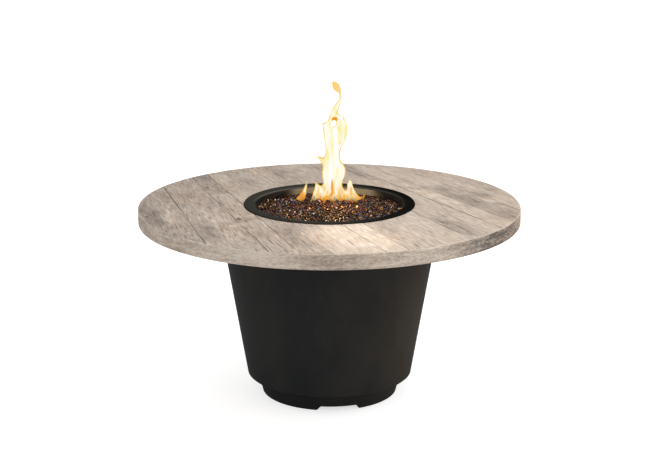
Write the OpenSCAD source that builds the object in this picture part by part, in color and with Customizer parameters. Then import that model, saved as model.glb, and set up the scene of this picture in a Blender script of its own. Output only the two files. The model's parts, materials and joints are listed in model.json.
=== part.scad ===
// Round gas fire table: a cast concrete top with a plank relief on a tapered cast
// pedestal that hides the gas train, with a drop-in fire pan and a rear access door.
// Millimetres, +Z up, origin on the floor under the centre, front towards -Y.

/* [Table top] */
// Diameter of the table top
top_d = 1219; // [1000:1:1500]
// Thickness of the table top
top_t = 48; // [40:1:70]
// Height of the table surface above the floor
table_h = 622; // [600:1:760]
// Bevel along the two edges of the table top
top_bevel = 2.5; // [1:0.5:6]
// Bearing of the planks, from the front-to-back line towards the right
plank_bearing = 22.5; // [0:0.5:60]
// Distance behind the middle at which the lines of the plank joints meet
plank_focus = 3700; // [2500:50:20000]
// Width of the joint between two planks
joint_w = 2; // [1:0.5:4]
// Depth of the joint between two planks
joint_depth = 1.5; // [0.5:0.1:3]

/* [Pedestal] */
// Outer diameter of the pedestal at its upper edge
ped_top_d = 706; // [670:1:800]
// Outer diameter of the pedestal at its lower edge
ped_low_d = 534; // [510:1:600]
// Wall of the pedestal, measured level
ped_wall = 25; // [22:1:32]
// Bevel along the pedestal's lower edge
ped_bevel = 3; // [1:0.5:6]
// Width of the ledge that carries the table top, from the pedestal's edge inwards
ledge_w = 83; // [70:1:93]
// Thickness of that ledge
ledge_t = 30; // [20:1:40]
// Thickness of the pedestal's floor ring
floor_t = 24; // [16:1:32]
// Thickness of the bedding gasket under the table top
bedding_t = 3; // [2:0.5:6]
// Thread of the bolts that hold the castings together
bolt_d = 10; // [8:1:12]
// Number of bolts through the ledge
top_bolt_count = 6; // [4:1:8]

/* [Plinth] */
// Outer diameter of the recessed plinth
plinth_d = 439; // [420:1:480]
// Height of the plinth
plinth_h = 61; // [50:1:80]
// Wall of the plinth
plinth_wall = 34; // [28:1:45]
// Number of hose notches under the plinth
notch_count = 3; // [2:1:4]
// Width of a notch at the floor
notch_w = 136; // [80:1:160]
// Width of a notch at its top
notch_top_w = 111; // [60:1:130]
// Height of a notch
notch_h = 14; // [8:1:24]
// Bearing of the first notch, from the front towards the right
notch_bearing = 7.5; // [0:0.5:40]

/* [Fire pan] */
// Inner diameter of the pan at its flange
pan_d = 476; // [440:1:490]
// Inner diameter of the pan at its floor
pan_floor_d = 452; // [420:1:470]
// Depth of the pan
pan_depth = 86; // [76:1:100]
// Sheet of the pan
pan_sheet = 2; // [1:0.5:3]
// Room round the pan in the table top
pan_room = 6; // [3:1:12]
// Outer diameter of the black rim ring
rim_d = 546; // [530:1:580]
// Inner diameter of the black rim ring
rim_bore = 480; // [478:1:500]
// How far the rim ring stands above the table surface
rim_rise = 4.5; // [3:0.5:8]
// How far the rim ring sits below the table surface
rim_sink = 2; // [1:0.5:4]
// Room round the rim ring in its rebate
rim_room = 1.5; // [0.5:0.5:4]
// Thickness of the gasket under the pan's flange
gasket_t = 2; // [1:0.5:4]
// Depth of the glass below the table surface, at the pan's wall
glass_drop = 16; // [10:1:36]
// Rise of the glass from the pan's wall to the middle
glass_crown = 3; // [0:1:20]
// Size of the chips that lie loose on the bed of glass
chip_size = 12; // [10:1:18]
// Depth of the hollows between the chips
chip_relief = 8; // [4:1:9]

/* [Burner] */
// Diameter of the burner ring, at the middle of its tube
burner_d = 240; // [180:1:300]
// Tube of the burner
burner_tube_d = 19; // [16:1:22]
// Height of the burner's tube above the pan's floor
burner_lift = 24; // [20:1:30]
// Number of gas ports in the ring
port_count = 36; // [12:4:48]
// Bore of a gas port
port_d = 2.5; // [2:0.1:4]
// Outer diameter of the feed pipe
nipple_d = 21.3; // [18:0.1:24]
// Length of the air mixer
mixer_len = 60; // [50:1:80]

/* [Controls] */
// Wall left between the door opening and the control plate's seat
panel_gap = 50; // [40:1:60]
// Width of the control plate
panel_w = 130; // [124:1:150]
// Height of the control plate
panel_h = 80; // [72:1:90]
// Sheet of the control plate
panel_t = 2; // [1:0.5:3]
// Distance between the gas knob and the igniter button
control_pitch = 62; // [56:1:68]
// Diameter of the gas knob
knob_d = 38; // [34:1:44]
// Height of the gas knob
knob_h = 21; // [16:1:30]
// Diameter of the valve stem
stem_d = 8; // [6:0.5:9]
// Diameter of the igniter button
button_d = 16; // [12:1:18]
// Travel of the igniter button
button_travel = 5; // [3:0.5:6]
// Thread of the gas inlet
inlet_d = 15.88; // [12:0.01:18]
// Length of the gas inlet's thread
inlet_len = 14; // [10:1:20]
// Outer diameter of the braided hose
hose_d = 13; // [10:1:15]

/* [Access door] */
// Width of the door opening
door_w = 250; // [220:1:270]
// Height of the door opening
door_h = 236; // [200:1:245]
// Height of the door opening's sill above the pedestal's floor ring
door_sill = 22; // [20:1:26]
// Gap round the door
door_gap = 3; // [2:0.5:5]
// Sheet of the door stop
stop_t = 3; // [2:0.5:4]
// Overlap of the door stop behind the door
stop_lap = 12; // [8:1:16]
// Knuckle diameter of the hinges
knuckle_d = 9; // [8:0.5:11]
// Pin of the hinges
hinge_pin_d = 5; // [4:0.5:6]
// Length of one hinge
hinge_len = 50; // [40:1:60]
// Distance between the middles of the two hinges
hinge_pitch = 150; // [120:1:170]
// Sheet of the hinge leaves
leaf_t = 2.5; // [2:0.5:3]
// Width of a hinge leaf
leaf_w = 26; // [22:1:32]

/* [Hidden] */
$fn = 96;
// Clearance of a fastener in its hole
hole_play = 0.1;
// Running clearance of a shaft in its bore
run_play = 0.05;
// Clearance between parts that move past each other
move_play = 0.4;
// Clearance of the glass round what it buries, and at the pan's wall
bury_play = 0.4;
glass_play = 0.3;
// Clearance under the head of a screw on a curved sheet
seat_play = 0.1;
// Reach of a deep cut past the face that it opens, and of a shallow one
cut = 60;
past = 1;
// Wall of a small nut round its bore, at its flats
hex_wall = 3;

// Levels and radii of the castings
top_r = top_d / 2;
top_z = table_h - top_t;
ped_top_z = top_z - bedding_t;
ped_top_r = ped_top_d / 2;
ped_low_r = ped_low_d / 2;
ledge_r = ped_top_r - ledge_w;
ledge_z = ped_top_z - ledge_t;
floor_z = plinth_h + floor_t;
plinth_r = plinth_d / 2;
plinth_bore_r = plinth_r - plinth_wall;
slope = (ped_top_r - ped_low_r) / (ped_top_z - plinth_h);
taper = atan(slope);
wall_n = ped_wall * cos(taper);
bedding_set = 12;
// Offsets of the plank joints from the middle, square to the planks
plank_joints = [
    -556, -479, -339, -267, -193, -139, -64, -3, 66, 189, 270, 318, 385, 481, 556];

// Fasteners
anchor_wall = 3;
anchor_r = bolt_d / 2 + anchor_wall;
anchor_len = 26;
bolt_circle_r = (ledge_r + wall_r(ledge_z) - ped_wall) / 2;
bolt_head_wall = 3.5;
bolt_af = bolt_d + 2 * bolt_head_wall;
bolt_head_t = 6.4;
bolt_end_room = 4;
bolt_play = 0.5;
bolt_hole_r = bolt_d / 2 + bolt_play;
washer_wall = 7.5;
washer_r = bolt_d / 2 + washer_wall;
washer_t = 2.5;
small_r = 2;
small_hole_r = small_r + hole_play;
small_head_r = 3.8;
small_head_t = 1.8;
plate_screw_len = 12;
stop_screw_len = 12;
leaf_screw_len = 14;

// Levels and radii of the fire pan
rebate_r = rim_d / 2 + rim_room;
rebate_z = table_h - rim_sink - pan_sheet - gasket_t;
flange_z = rebate_z + gasket_t;
flange_set = 1;
flange_r = rim_d / 2 - flange_set;
gasket_set = 2;
rim_z = flange_z + pan_sheet;
rim_full = rim_sink + rim_rise;
rim_r = rim_d / 2;
rim_bore_r = rim_bore / 2;
rim_lip = 3;
bead_r = 2.6;
pan_r = pan_d / 2;
pan_floor_r = pan_floor_d / 2;
pan_floor_z = rim_z - pan_depth;
pan_under_z = pan_floor_z - pan_sheet;
hole_r = pan_r + pan_sheet + pan_room;
weep_count = 4;
weep_d = 10;
weep_in = 40;
weep_circle_r = pan_floor_r - weep_in;
glass_z = table_h - glass_drop;
chip_cover = 3;
bed_z = glass_z - chip_relief - chip_cover;
bed_r = pan_wall_r(bed_z) - glass_play;
chip_set = 0.5;
chip_r = pan_wall_r(bed_z - past) - glass_play - chip_set;
chip_rings = floor(chip_r / chip_size);
chip_drift = chip_size / 4;
chip_seed = 7;

// Burner and its feed, on the middle axis
burner_z = pan_floor_z + burner_lift;
burner_r = burner_d / 2;
tube_r = burner_tube_d / 2;
tube_wall = 1.5;
spoke_step = 2;
spoke_r = tube_r - spoke_step;
nipple_r = nipple_d / 2;
nipple_wall = 3;
nipple_bore_r = nipple_r - nipple_wall;
nipple_grip = 12;
nipple_drop = 37;
nipple_low_z = pan_under_z - nipple_drop;
hub_wall = 8;
hub_r = nipple_r + hub_wall;
hub_lift = 8;
hub_z = pan_floor_z + hub_lift;
locknut_t = 10;
locknut_wall = 6;
locknut_af = nipple_d + 2 * locknut_wall;
mixer_wall = 5;
mixer_r = nipple_r + mixer_wall;
mixer_port_d = 9;
mixer_port_down = 4;
mixer_port_up = mixer_len / 2 - mixer_port_down;
socket_depth = 14;
orifice_t = 8;
orifice_d = 3;
mixer_low_z = nipple_low_z + socket_depth - mixer_len;
elbow_step = 3;
elbow_r = mixer_r - elbow_step;
elbow_h = 26;
elbow_z = mixer_low_z - elbow_h / 2;
elbow_out = 34;
elbow_bore_r = 4.5;
ferrule_wall = 2.5;
fitting_r = hose_d / 2 + ferrule_wall;
nut_af = 2 * (fitting_r + hex_wall);
nut_len = 18;
nut_grip = 12;
ferrule_len = 16;
hose_handle = 75;
hose_sag = 18;

// Spark electrode and thermocouple, inside the burner ring
sensor_x = 74;
sensor_y = 68;
ceramic_r = 5;
ceramic_low = 20;
ceramic_high = 14;
collar_r = 8;
collar_t = 4;
sensor_nut_af = 15;
sensor_nut_t = 6;
spark_rod_r = 1.2;
spark_rod_high = 30;
terminal_low = 32;
probe_r = 3.2;
probe_low = 26;
probe_high = 28;
lead_r = 1.6;
lead_handle = 55;
probe_lead_rise = 40;

// Access door in the pedestal's rear wall, with its hinges on the -X side
door_z = floor_z + door_sill + door_h / 2 * cos(taper);
hinge_x = -door_w / 2 + door_gap / 2;
knuckle_room = 1.3;
hinge_stand = (knuckle_d / 2 + knuckle_room) / (cos(turn_for(hinge_x, door_z)) * cos(taper));
hinge_y = surface_y(hinge_x, door_z) + hinge_stand;
hinge_lean = atan((surface_y(hinge_x, door_z + hinge_pitch / 2)
    - surface_y(hinge_x, door_z - hinge_pitch / 2)) / hinge_pitch);
knuckle_r = knuckle_d / 2;
knuckle_gap = 0.3;
knuckle_len = (hinge_len - 2 * knuckle_gap) / 3;
pin_head_t = 2;
leaf_screw_in = 8;
leaf_screw_out = leaf_w - leaf_screw_in;
leaf_screw_end = 9;
leaf_screw_pitch = hinge_len - 2 * leaf_screw_end;
stop_margin = 18;
stop_hinge_room = 34;
stop_screw_in = stop_margin / 2;
stop_screw_x = [-40, 60];
stop_screw_down = 30;
// Places of the stop's screws: x across the table and distance up the wall from the door's middle
stop_screw_places = [
    for (side = [-1, 1]) for (x = stop_screw_x) [x, side * (door_h / 2 + stop_screw_in)],
    for (side = [-1, 1]) [door_w / 2 + stop_screw_in, side * (door_h / 2 - stop_screw_down)]];
magnet_w = 16;
magnet_h = 36;
magnet_t = 9;
magnet_y = 30;
magnet_seat = 0.3;
strike_t = 3;
strike_w = 12;
strike_in = 2;
pull_in = 34;
pull_x = door_w / 2 - pull_in;
pull_foot = 3;
pull_base_r = 11;
pull_neck_r = 7;
pull_head_r = 15;
pull_head_t = 12;
pull_round = 2;
pull_len = 28;
pull_thread = 16;
pull_screw_r = 2.5;
pull_screw_head_r = 5;
pull_screw_head_t = 3;
pull_counterbore = 4;
pull_seat = pull_counterbore - wall_n;

// Control plate: its seat is cut into the pedestal's rear wall
panel_reveal = 2;
panel_rise = door_h / 2 + panel_gap + panel_reveal + panel_h / 2;
panel_z = door_z + panel_rise * cos(taper);
panel_seat = sagitta(wall_r(panel_z), panel_w / 2 + panel_reveal) + panel_t;
panel_screw_in = 7;
knob_x = -control_pitch / 2;
igniter_x = control_pitch / 2;

// Gas valve, measured from the control plate's front face
bush_wall = 5;
bush_r = stem_d / 2 + bush_wall;
bush_len = 5;
bush_nut_af = 2 * (bush_r + hex_wall);
bush_nut_t = 4;
valve_w = 34;
valve_h = 36;
valve_len = 54;
valve_gap = 3;
valve_front = -panel_t - valve_gap;
valve_back = valve_front - valve_len;
stem_reach = 30;
stem_low = valve_front - stem_reach;
stem_end_room = 0.5;
window_side = 4;
window_w = control_pitch + valve_w + 2 * window_side;
window_rise = 5;
window_h = valve_h + 2 * window_rise;
outlet_len = 14;
outlet_back = valve_back - outlet_len;
hose_end = outlet_back - ferrule_len;
inlet_back = 37;
inlet_z = valve_front - inlet_back;
inlet_hex_t = 7;
inlet_nose = 5;
inlet_nose_step = 1;
sensor_port_r = 4.5;
sensor_port_len = 9;
sensor_port_back = 40;
sensor_port_z = valve_front - sensor_port_back;

// Gas knob
knob_lift = 1;
knob_skirt = 6;
knob_draft = 3;
knob_pocket = bush_len;
knob_cap = 5;
knob_round = 2;
knob_nut_room = 1;
stem_top = knob_lift + knob_h - knob_cap;
stem_cap_room = 0.2;
grip_w = 14;
mark_w = 2;
mark_len = 12;
mark_deep = 0.8;

// Igniter, measured from the control plate's front face
collar_wall = 3;
collar_d = button_d + 2 * collar_wall;
collar_brim = 4;
collar_flange_d = collar_d + 2 * collar_brim;
collar_bevel = 1;
collar_flange_t = 4;
collar_len = 15;
collar_nut_af = collar_d + 2 * hex_wall;
collar_nut_t = 5;
button_proud = 2;
button_top = collar_flange_t + button_travel + button_proud;
button_end_room = 1;
button_low = button_end_room + button_travel - collar_len;
button_dish = 1;
button_dish_r = 20;
module_wall = 2;
module_step = 1;
module_r = collar_d / 2 + module_step;
module_len = 58;
module_back = -collar_len - module_len;
cell_r = 7.1;
cell_len = 50;
plug_r = 3;
plug_len = 7;

// Shared measures of the tapered wall
function wall_r(z) = ped_low_r + slope * (z - plinth_h);
function surface_y(x, z) = sqrt(pow(wall_r(z), 2) - x * x);
function sagitta(r, half) = r - sqrt(r * r - half * half);
function turn_for(x, z) = asin(x / wall_r(z));

// A place on the rear wall: local z points out of the wall and local y up along it
module at_back(z, turn = 0)
    rotate([0, 0, -turn]) translate([0, wall_r(z), z]) rotate([90 + taper, 0, 180]) children();

// The control plate's front face
module on_panel() at_back(panel_z) translate([0, 0, panel_t - panel_seat]) children();

// A point of the control plate's frame, in the table's frame, and the way in from the plate
function panel_point(x, y, z) = let (out = z + panel_t - panel_seat) [
    -x,
    wall_r(panel_z) + y * sin(taper) + out * cos(taper),
    panel_z + y * cos(taper) - out * sin(taper)];
panel_in = [0, -cos(taper), sin(taper)];
panel_up = [0, sin(taper), cos(taper)];

// The middles of the two hinges, with local z along their axis
module at_hinges() translate([hinge_x, hinge_y, door_z]) rotate([-hinge_lean, 0, 0])
    for (side = [-1, 1]) translate([0, 0, side * hinge_pitch / 2]) children();

module hexagon(af, h) cylinder(d = af / cos(30), h = h, $fn = 6);

module ring(r_out, r_in, h) linear_extrude(h) difference() {
    circle(r = r_out);
    circle(r = r_in);
}

module nut(af, r_in, h) difference() {
    hexagon(af, h);
    translate([0, 0, -past]) cylinder(r = r_in, h = h + 2 * past);
}

module around(count, first = 0)
    for (k = [0:count - past]) rotate([0, 0, first + k * 360 / count]) children();

// Layer of the tapered wall between two level depths behind its outer face
module wall_layer(depth_out, depth_in) rotate_extrude() polygon([
    [wall_r(floor_z) - depth_out, floor_z], [wall_r(ledge_z) - depth_out, ledge_z],
    [wall_r(ledge_z) - depth_in, ledge_z], [wall_r(floor_z) - depth_in, floor_z]]);

// A rectangle in the door's frame, carried through the wall
module through_door(x, y, w, h) at_back(door_z) translate([x, y, -2 * cut])
    linear_extrude(3 * cut) square([w, h], center = true);

// Smooth curve with given ends and handles, and a round tube along its points
function bezier(a, b, c, d, t) = pow(1 - t, 3) * a + 3 * pow(1 - t, 2) * t * b
    + 3 * (1 - t) * t * t * c + pow(t, 3) * d;
function curve(a, b, c, d, steps) = [for (k = [0:steps]) bezier(a, b, c, d, k / steps)];
function unit(v) = v / norm(v);
function heading(p, k) = unit(p[min(k + 1, len(p) - 1)] - p[max(k - 1, 0)]);

module tube_along(p, r, start, finish, sides) {
    last = len(p) - 1;
    points = [for (k = [0:last])
        let (t = k == 0 ? start : k == last ? finish : heading(p, k))
        let (u = unit(cross([1, 0, 0], t)))
        let (v = cross(t, u))
        for (s = [0:sides - past])
            p[k] + r * (cos(s * 360 / sides) * u + sin(s * 360 / sides) * v)];
    skin = [for (k = [0:last - past]) for (s = [0:sides - past])
        let (a = k * sides + s)
        let (b = k * sides + (s + 1) % sides)
        for (face = [[a, a + sides, b], [b, a + sides, b + sides]]) face];
    near_cap = [for (s = [1:sides - 2]) [0, s, s + 1]];
    far_cap = [for (s = [1:sides - 2]) [for (i = [0, s + 1, s]) last * sides + i]];
    polyhedron(points, concat(skin, near_cap, far_cap));
}

// Castings, and the bolts, washers and anchors that hold them together
module at_top_bolts()
    around(top_bolt_count, 180 / top_bolt_count) translate([bolt_circle_r, 0, 0]) children();

module at_plinth_bolts() around(notch_count, notch_bearing - 90 + 180 / notch_count)
    translate([plinth_r - plinth_wall / 2, 0, 0]) children();

module anchor() ring(anchor_r, bolt_d / 2 + hole_play, anchor_len);

module bolt(reach) {
    hexagon(bolt_af, bolt_head_t);
    translate([0, 0, bolt_head_t]) cylinder(d = bolt_d, h = reach);
}

module table_top() color([0.67, 0.61, 0.57]) difference() {
    rotate_extrude() polygon([
        [hole_r, top_z], [top_r - top_bevel, top_z], [top_r, top_z + top_bevel],
        [top_r, table_h - top_bevel], [top_r - top_bevel, table_h], [rebate_r, table_h],
        [rebate_r, rebate_z], [hole_r, rebate_z]]);
    for (joint = plank_joints)
        rotate([0, 0, plank_bearing]) translate([joint, 0, table_h - joint_depth])
            rotate([0, 0, atan(joint / plank_focus)])
                translate([-joint_w / 2, -top_d, 0]) cube([joint_w, 2 * top_d, cut]);
    at_top_bolts() translate([0, 0, top_z - past]) cylinder(r = anchor_r, h = anchor_len + past);
}

module top_anchors() color("goldenrod") at_top_bolts() translate([0, 0, top_z]) anchor();

module top_bolts() color("silver") at_top_bolts()
    translate([0, 0, ledge_z - washer_t - bolt_head_t])
        bolt(washer_t + ledge_t + bedding_t + anchor_len - bolt_end_room);

module top_washers() color("silver") at_top_bolts()
    translate([0, 0, ledge_z - washer_t]) ring(washer_r, bolt_hole_r, washer_t);

module bedding_gasket() color([0.1, 0.1, 0.1]) difference() {
    translate([0, 0, ped_top_z]) ring(ped_top_r - bedding_set, ledge_r, bedding_t);
    at_top_bolts() translate([0, 0, ped_top_z - past]) cylinder(r = bolt_hole_r, h = bedding_t + 2 * past);
}

module pedestal() color([0.15, 0.15, 0.16]) difference() {
    rotate_extrude() polygon([
        [plinth_bore_r, plinth_h], [ped_low_r - ped_bevel, plinth_h],
        [wall_r(plinth_h + ped_bevel), plinth_h + ped_bevel], [ped_top_r, ped_top_z],
        [ledge_r, ped_top_z], [ledge_r, ledge_z], [wall_r(ledge_z) - ped_wall, ledge_z],
        [wall_r(floor_z) - ped_wall, floor_z], [plinth_bore_r, floor_z]]);
    at_top_bolts() translate([0, 0, ledge_z - past]) cylinder(r = bolt_hole_r, h = ledge_t + 2 * past);
    at_plinth_bolts() translate([0, 0, plinth_h - past]) cylinder(r = bolt_hole_r, h = floor_t + 2 * past);
    through_door(0, 0, door_w, door_h);
    at_back(panel_z) translate([0, 0, -panel_seat]) linear_extrude(cut)
        square([panel_w + 2 * panel_reveal, panel_h + 2 * panel_reveal], center = true);
    at_back(panel_z) translate([0, 0, -cut]) linear_extrude(2 * cut)
        square([window_w, window_h], center = true);
    at_plate_screws() screw_hole(plate_screw_len);
    at_stop_screws() mirror([0, 0, 1]) screw_hole(stop_screw_len);
    at_leaf_screws(-1) screw_hole(leaf_screw_len);
}

module plinth() color([0.13, 0.13, 0.14]) difference() {
    ring(plinth_r, plinth_bore_r, plinth_h);
    around(notch_count, notch_bearing - 90) rotate([90, 0, 90]) linear_extrude(plinth_r + cut)
        polygon([[-notch_w / 2, -past], [-notch_w / 2, 0], [-notch_top_w / 2, notch_h],
            [notch_top_w / 2, notch_h], [notch_w / 2, 0], [notch_w / 2, -past]]);
    at_plinth_bolts() translate([0, 0, plinth_h - anchor_len])
        cylinder(r = anchor_r, h = anchor_len + past);
}

module plinth_anchors() color("goldenrod") at_plinth_bolts()
    translate([0, 0, plinth_h - anchor_len]) anchor();

module plinth_washers() color("silver") at_plinth_bolts()
    translate([0, 0, floor_z]) ring(washer_r, bolt_hole_r, washer_t);

module plinth_bolts() color("silver") at_plinth_bolts()
    translate([0, 0, floor_z + washer_t + bolt_head_t]) mirror([0, 0, 1])
        bolt(washer_t + floor_t + anchor_len - bolt_end_room);

// Small screws: the head stands on the local plane and the shank goes down through it
module small_screw(reach) {
    cylinder(r = small_head_r, h = small_head_t);
    translate([0, 0, -reach]) cylinder(r = small_r, h = reach + small_head_t / 2);
}

module screw_hole(reach) translate([0, 0, -reach - past]) cylinder(r = small_hole_r, h = reach + cut);

// Access door, its stop and its catch
module access_door() color([0.15, 0.15, 0.16]) difference() {
    intersection() {
        wall_layer(0, ped_wall - move_play);
        through_door(0, 0, door_w - 2 * door_gap, door_h - 2 * door_gap);
    }
    intersection() {
        wall_layer(ped_wall - move_play - strike_t, ped_wall + cut);
        at_strikes(hole_play);
    }
    at_pull() translate([0, 0, -cut]) cylinder(r = pull_screw_r + hole_play, h = 2 * cut);
    at_pull() translate([0, 0, pull_seat - cut]) cylinder(r = pull_screw_head_r + move_play, h = cut);
    at_leaf_screws(1) screw_hole(leaf_screw_len);
}

module door_stop() color([0.2, 0.2, 0.21]) difference() {
    intersection() {
        wall_layer(ped_wall, ped_wall + stop_t);
        through_door(-(stop_margin + stop_hinge_room) / 2, 0,
            door_w + stop_margin - stop_hinge_room, door_h + 2 * stop_margin);
    }
    through_door(stop_lap + stop_margin, 0, door_w + 2 * stop_margin, door_h - 2 * stop_lap);
    at_stop_screws() screw_hole(stop_screw_len);
}

// The stop's screws stand on the wall's inner face
module at_stop_screws() for (place = stop_screw_places)
    let (z = door_z + place[1] * cos(taper))
        at_back(z, asin(place[0] / (wall_r(z) - ped_wall))) translate([0, 0, -wall_n]) children();

module stop_screws() color("silver") at_stop_screws()
    translate([0, 0, -stop_t * cos(taper) - seat_play]) mirror([0, 0, 1]) small_screw(stop_screw_len);

module at_strikes(play) for (side = [-1, 1])
    through_door(-door_w / 2 + door_gap + strike_in + strike_w / 2, side * magnet_y,
        strike_w + 2 * play, magnet_h + 2 * play);

module strike_plates() color("silver") intersection() {
    wall_layer(ped_wall - move_play - strike_t, ped_wall - move_play);
    at_strikes(0);
}

module catch_magnets() color([0.3, 0.3, 0.32]) intersection() {
    wall_layer(ped_wall + stop_t + magnet_seat, ped_wall + stop_t + magnet_t);
    for (side = [-1, 1]) through_door(-door_w / 2, side * magnet_y, magnet_w, magnet_h);
}

// Hinges: a frame leaf carries the outer knuckles and a door leaf the middle one
module knuckles(own, r, h) at_hinges() for (k = own)
    translate([0, 0, k * (knuckle_len + knuckle_gap)]) cylinder(r = r, h = h, center = true);

module leaf(side, own, other) difference() {
    union() {
        difference() {
            intersection() {
                wall_layer(-leaf_t, 0);
                at_hinges() translate([side * (leaf_w + move_play) / 2, 0, 0])
                    cube([leaf_w - move_play, 2 * cut, hinge_len], center = true);
            }
            knuckles(other, knuckle_r + move_play, knuckle_len + 2 * knuckle_gap);
        }
        knuckles(own, knuckle_r, knuckle_len);
    }
    at_hinges() cylinder(r = hinge_pin_d / 2 + run_play, h = hinge_len + 2 * past, center = true);
    at_leaf_screws(side) screw_hole(leaf_screw_len);
}

module hinge_frame_leaves() color([0.16, 0.16, 0.17]) leaf(-1, [-1, 1], [0]);

module hinge_door_leaves() color([0.16, 0.16, 0.17]) leaf(1, [0], [-1, 1]);

module hinge_pins() color("silver") at_hinges() {
    cylinder(d = hinge_pin_d, h = hinge_len, center = true);
    translate([0, 0, hinge_len / 2]) cylinder(r = knuckle_r, h = pin_head_t);
}

module at_leaf_screws(side) for (hinge = [-1, 1]) for (end = [-1, 1])
    let (z = door_z + hinge * hinge_pitch / 2 * cos(hinge_lean) + end * leaf_screw_pitch / 2)
    let (x = hinge_x + side * leaf_screw_out)
        at_back(z, turn_for(x, z)) translate([0, 0, leaf_t * cos(taper) + seat_play]) children();

module hinge_frame_screws() color([0.16, 0.16, 0.17]) at_leaf_screws(-1) small_screw(leaf_screw_len);

module hinge_door_screws() color([0.16, 0.16, 0.17]) at_leaf_screws(1) small_screw(leaf_screw_len);

// Pull knob on the door's free side, held by a screw from inside
module at_pull() at_back(door_z, turn_for(pull_x, door_z)) children();

module door_pull() color([0.16, 0.16, 0.17]) difference() {
    at_pull() rotate_extrude() polygon([
        [0, -pull_foot], [pull_base_r, -pull_foot], [pull_base_r, pull_foot], [pull_neck_r, 2 * pull_foot],
        [pull_neck_r, pull_len - pull_head_t],
        [pull_head_r, pull_len - pull_head_t + pull_round], [pull_head_r, pull_len - pull_round],
        [pull_head_r - pull_round, pull_len], [0, pull_len]]);
    wall_layer(0, ped_wall);
    at_pull() translate([0, 0, -cut]) cylinder(r = pull_screw_r + hole_play, h = cut + pull_thread + past);
}

module pull_screw() color("silver") at_pull() {
    translate([0, 0, pull_seat - pull_screw_head_t]) cylinder(r = pull_screw_head_r, h = pull_screw_head_t);
    translate([0, 0, pull_seat - past]) cylinder(r = pull_screw_r, h = pull_thread - pull_seat + past);
}

// Fire pan, its gasket, rim ring and bed of glass
function pan_wall_r(z) = pan_floor_r + (pan_r - pan_floor_r) * (z - pan_floor_z) / pan_depth;

module rim_gasket() color([0.1, 0.1, 0.1]) translate([0, 0, rebate_z])
    ring(flange_r - gasket_set, hole_r + gasket_set, gasket_t);

module fire_pan() color([0.45, 0.43, 0.41]) difference() {
    rotate_extrude() polygon([
        [0, pan_under_z], [pan_floor_r + pan_sheet, pan_under_z], [pan_r + pan_sheet, flange_z],
        [flange_r, flange_z], [flange_r, rim_z], [pan_r, rim_z], [pan_floor_r, pan_floor_z],
        [0, pan_floor_z]]);
    translate([0, 0, pan_under_z - past]) cylinder(r = nipple_r + hole_play, h = pan_sheet + 2 * past);
    for (side = [-1, 1]) translate([side * sensor_x, sensor_y, pan_under_z - past])
        cylinder(r = (side < 0 ? ceramic_r : probe_r) + hole_play, h = pan_sheet + 2 * past);
    around(weep_count, 45) translate([weep_circle_r, 0, pan_under_z - past])
        cylinder(d = weep_d, h = pan_sheet + 2 * past);
}

module pan_rim() color([0.09, 0.09, 0.1]) translate([0, 0, rim_z]) rotate_extrude() polygon(concat(
    [[rim_bore_r, 0], [rim_r, 0]],
    [for (a = [0:15:90]) [rim_r - bead_r + bead_r * cos(a), rim_full - bead_r + bead_r * sin(a)]],
    [for (a = [90:15:120]) [rim_r - 3 * bead_r + bead_r * cos(a), rim_full - bead_r + bead_r * sin(a)]],
    [[rim_bore_r + rim_lip, rim_lip], [rim_bore_r, rim_lip / 2]]));

// Loose chips on the bed: ring k has 6 k points one chip apart, each drifted and sunk by chance
function ring_start(k) = k == 0 ? 0 : 1 + 3 * k * (k - 1);
function ring_point(k, j) = ring_start(k) + (k == 0 ? 0 : j % (6 * k));
function chip_point(k, j, drift, sink) = let (
    share = k / chip_rings, turn = k == 0 ? 0 : 60 * j / k, free = k < chip_rings ? 1 : 0) [
        chip_r * share * cos(turn) + free * drift[0], chip_r * share * sin(turn) + free * drift[1],
        glass_z + glass_crown * (1 - share * share) - sink];

module loose_chips() {
    count = ring_start(chip_rings + 1);
    rim_count = 6 * chip_rings;
    sinks = rands(0, chip_relief, count, chip_seed);
    drifts = rands(-chip_drift, chip_drift, 2 * count, chip_seed + 1);
    crown = [for (k = [0:chip_rings]) for (j = [0:max(6 * k, 1) - 1]) let (at = ring_point(k, j))
        chip_point(k, j, [drifts[at], drifts[count + at]], sinks[at])];
    foot = [for (j = [0:rim_count - 1]) let (p = crown[ring_point(chip_rings, j)]) [p[0], p[1], bed_z - past]];
    outer_faces = [for (k = [1:chip_rings]) for (s = [0:5]) for (i = [0:k - 1])
        [ring_point(k, s * k + i + 1), ring_point(k, s * k + i), ring_point(k - 1, s * (k - 1) + i)]];
    inner_faces = [for (k = [2:chip_rings]) for (s = [0:5]) for (i = [0:k - 2])
        [ring_point(k - 1, s * (k - 1) + i + 1), ring_point(k, s * k + i + 1),
            ring_point(k - 1, s * (k - 1) + i)]];
    side_faces = [for (j = [0:rim_count - 1]) [ring_point(chip_rings, j), ring_point(chip_rings, j + 1),
        count + (j + 1) % rim_count, count + j]];
    foot_face = [[for (j = [0:rim_count - 1]) count + j]];
    polyhedron(concat(crown, foot), concat(outer_faces, inner_faces, side_faces, foot_face));
}

module fire_glass() color([0.16, 0.1, 0.07]) {
    glass_bed();
    loose_chips();
}

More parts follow.
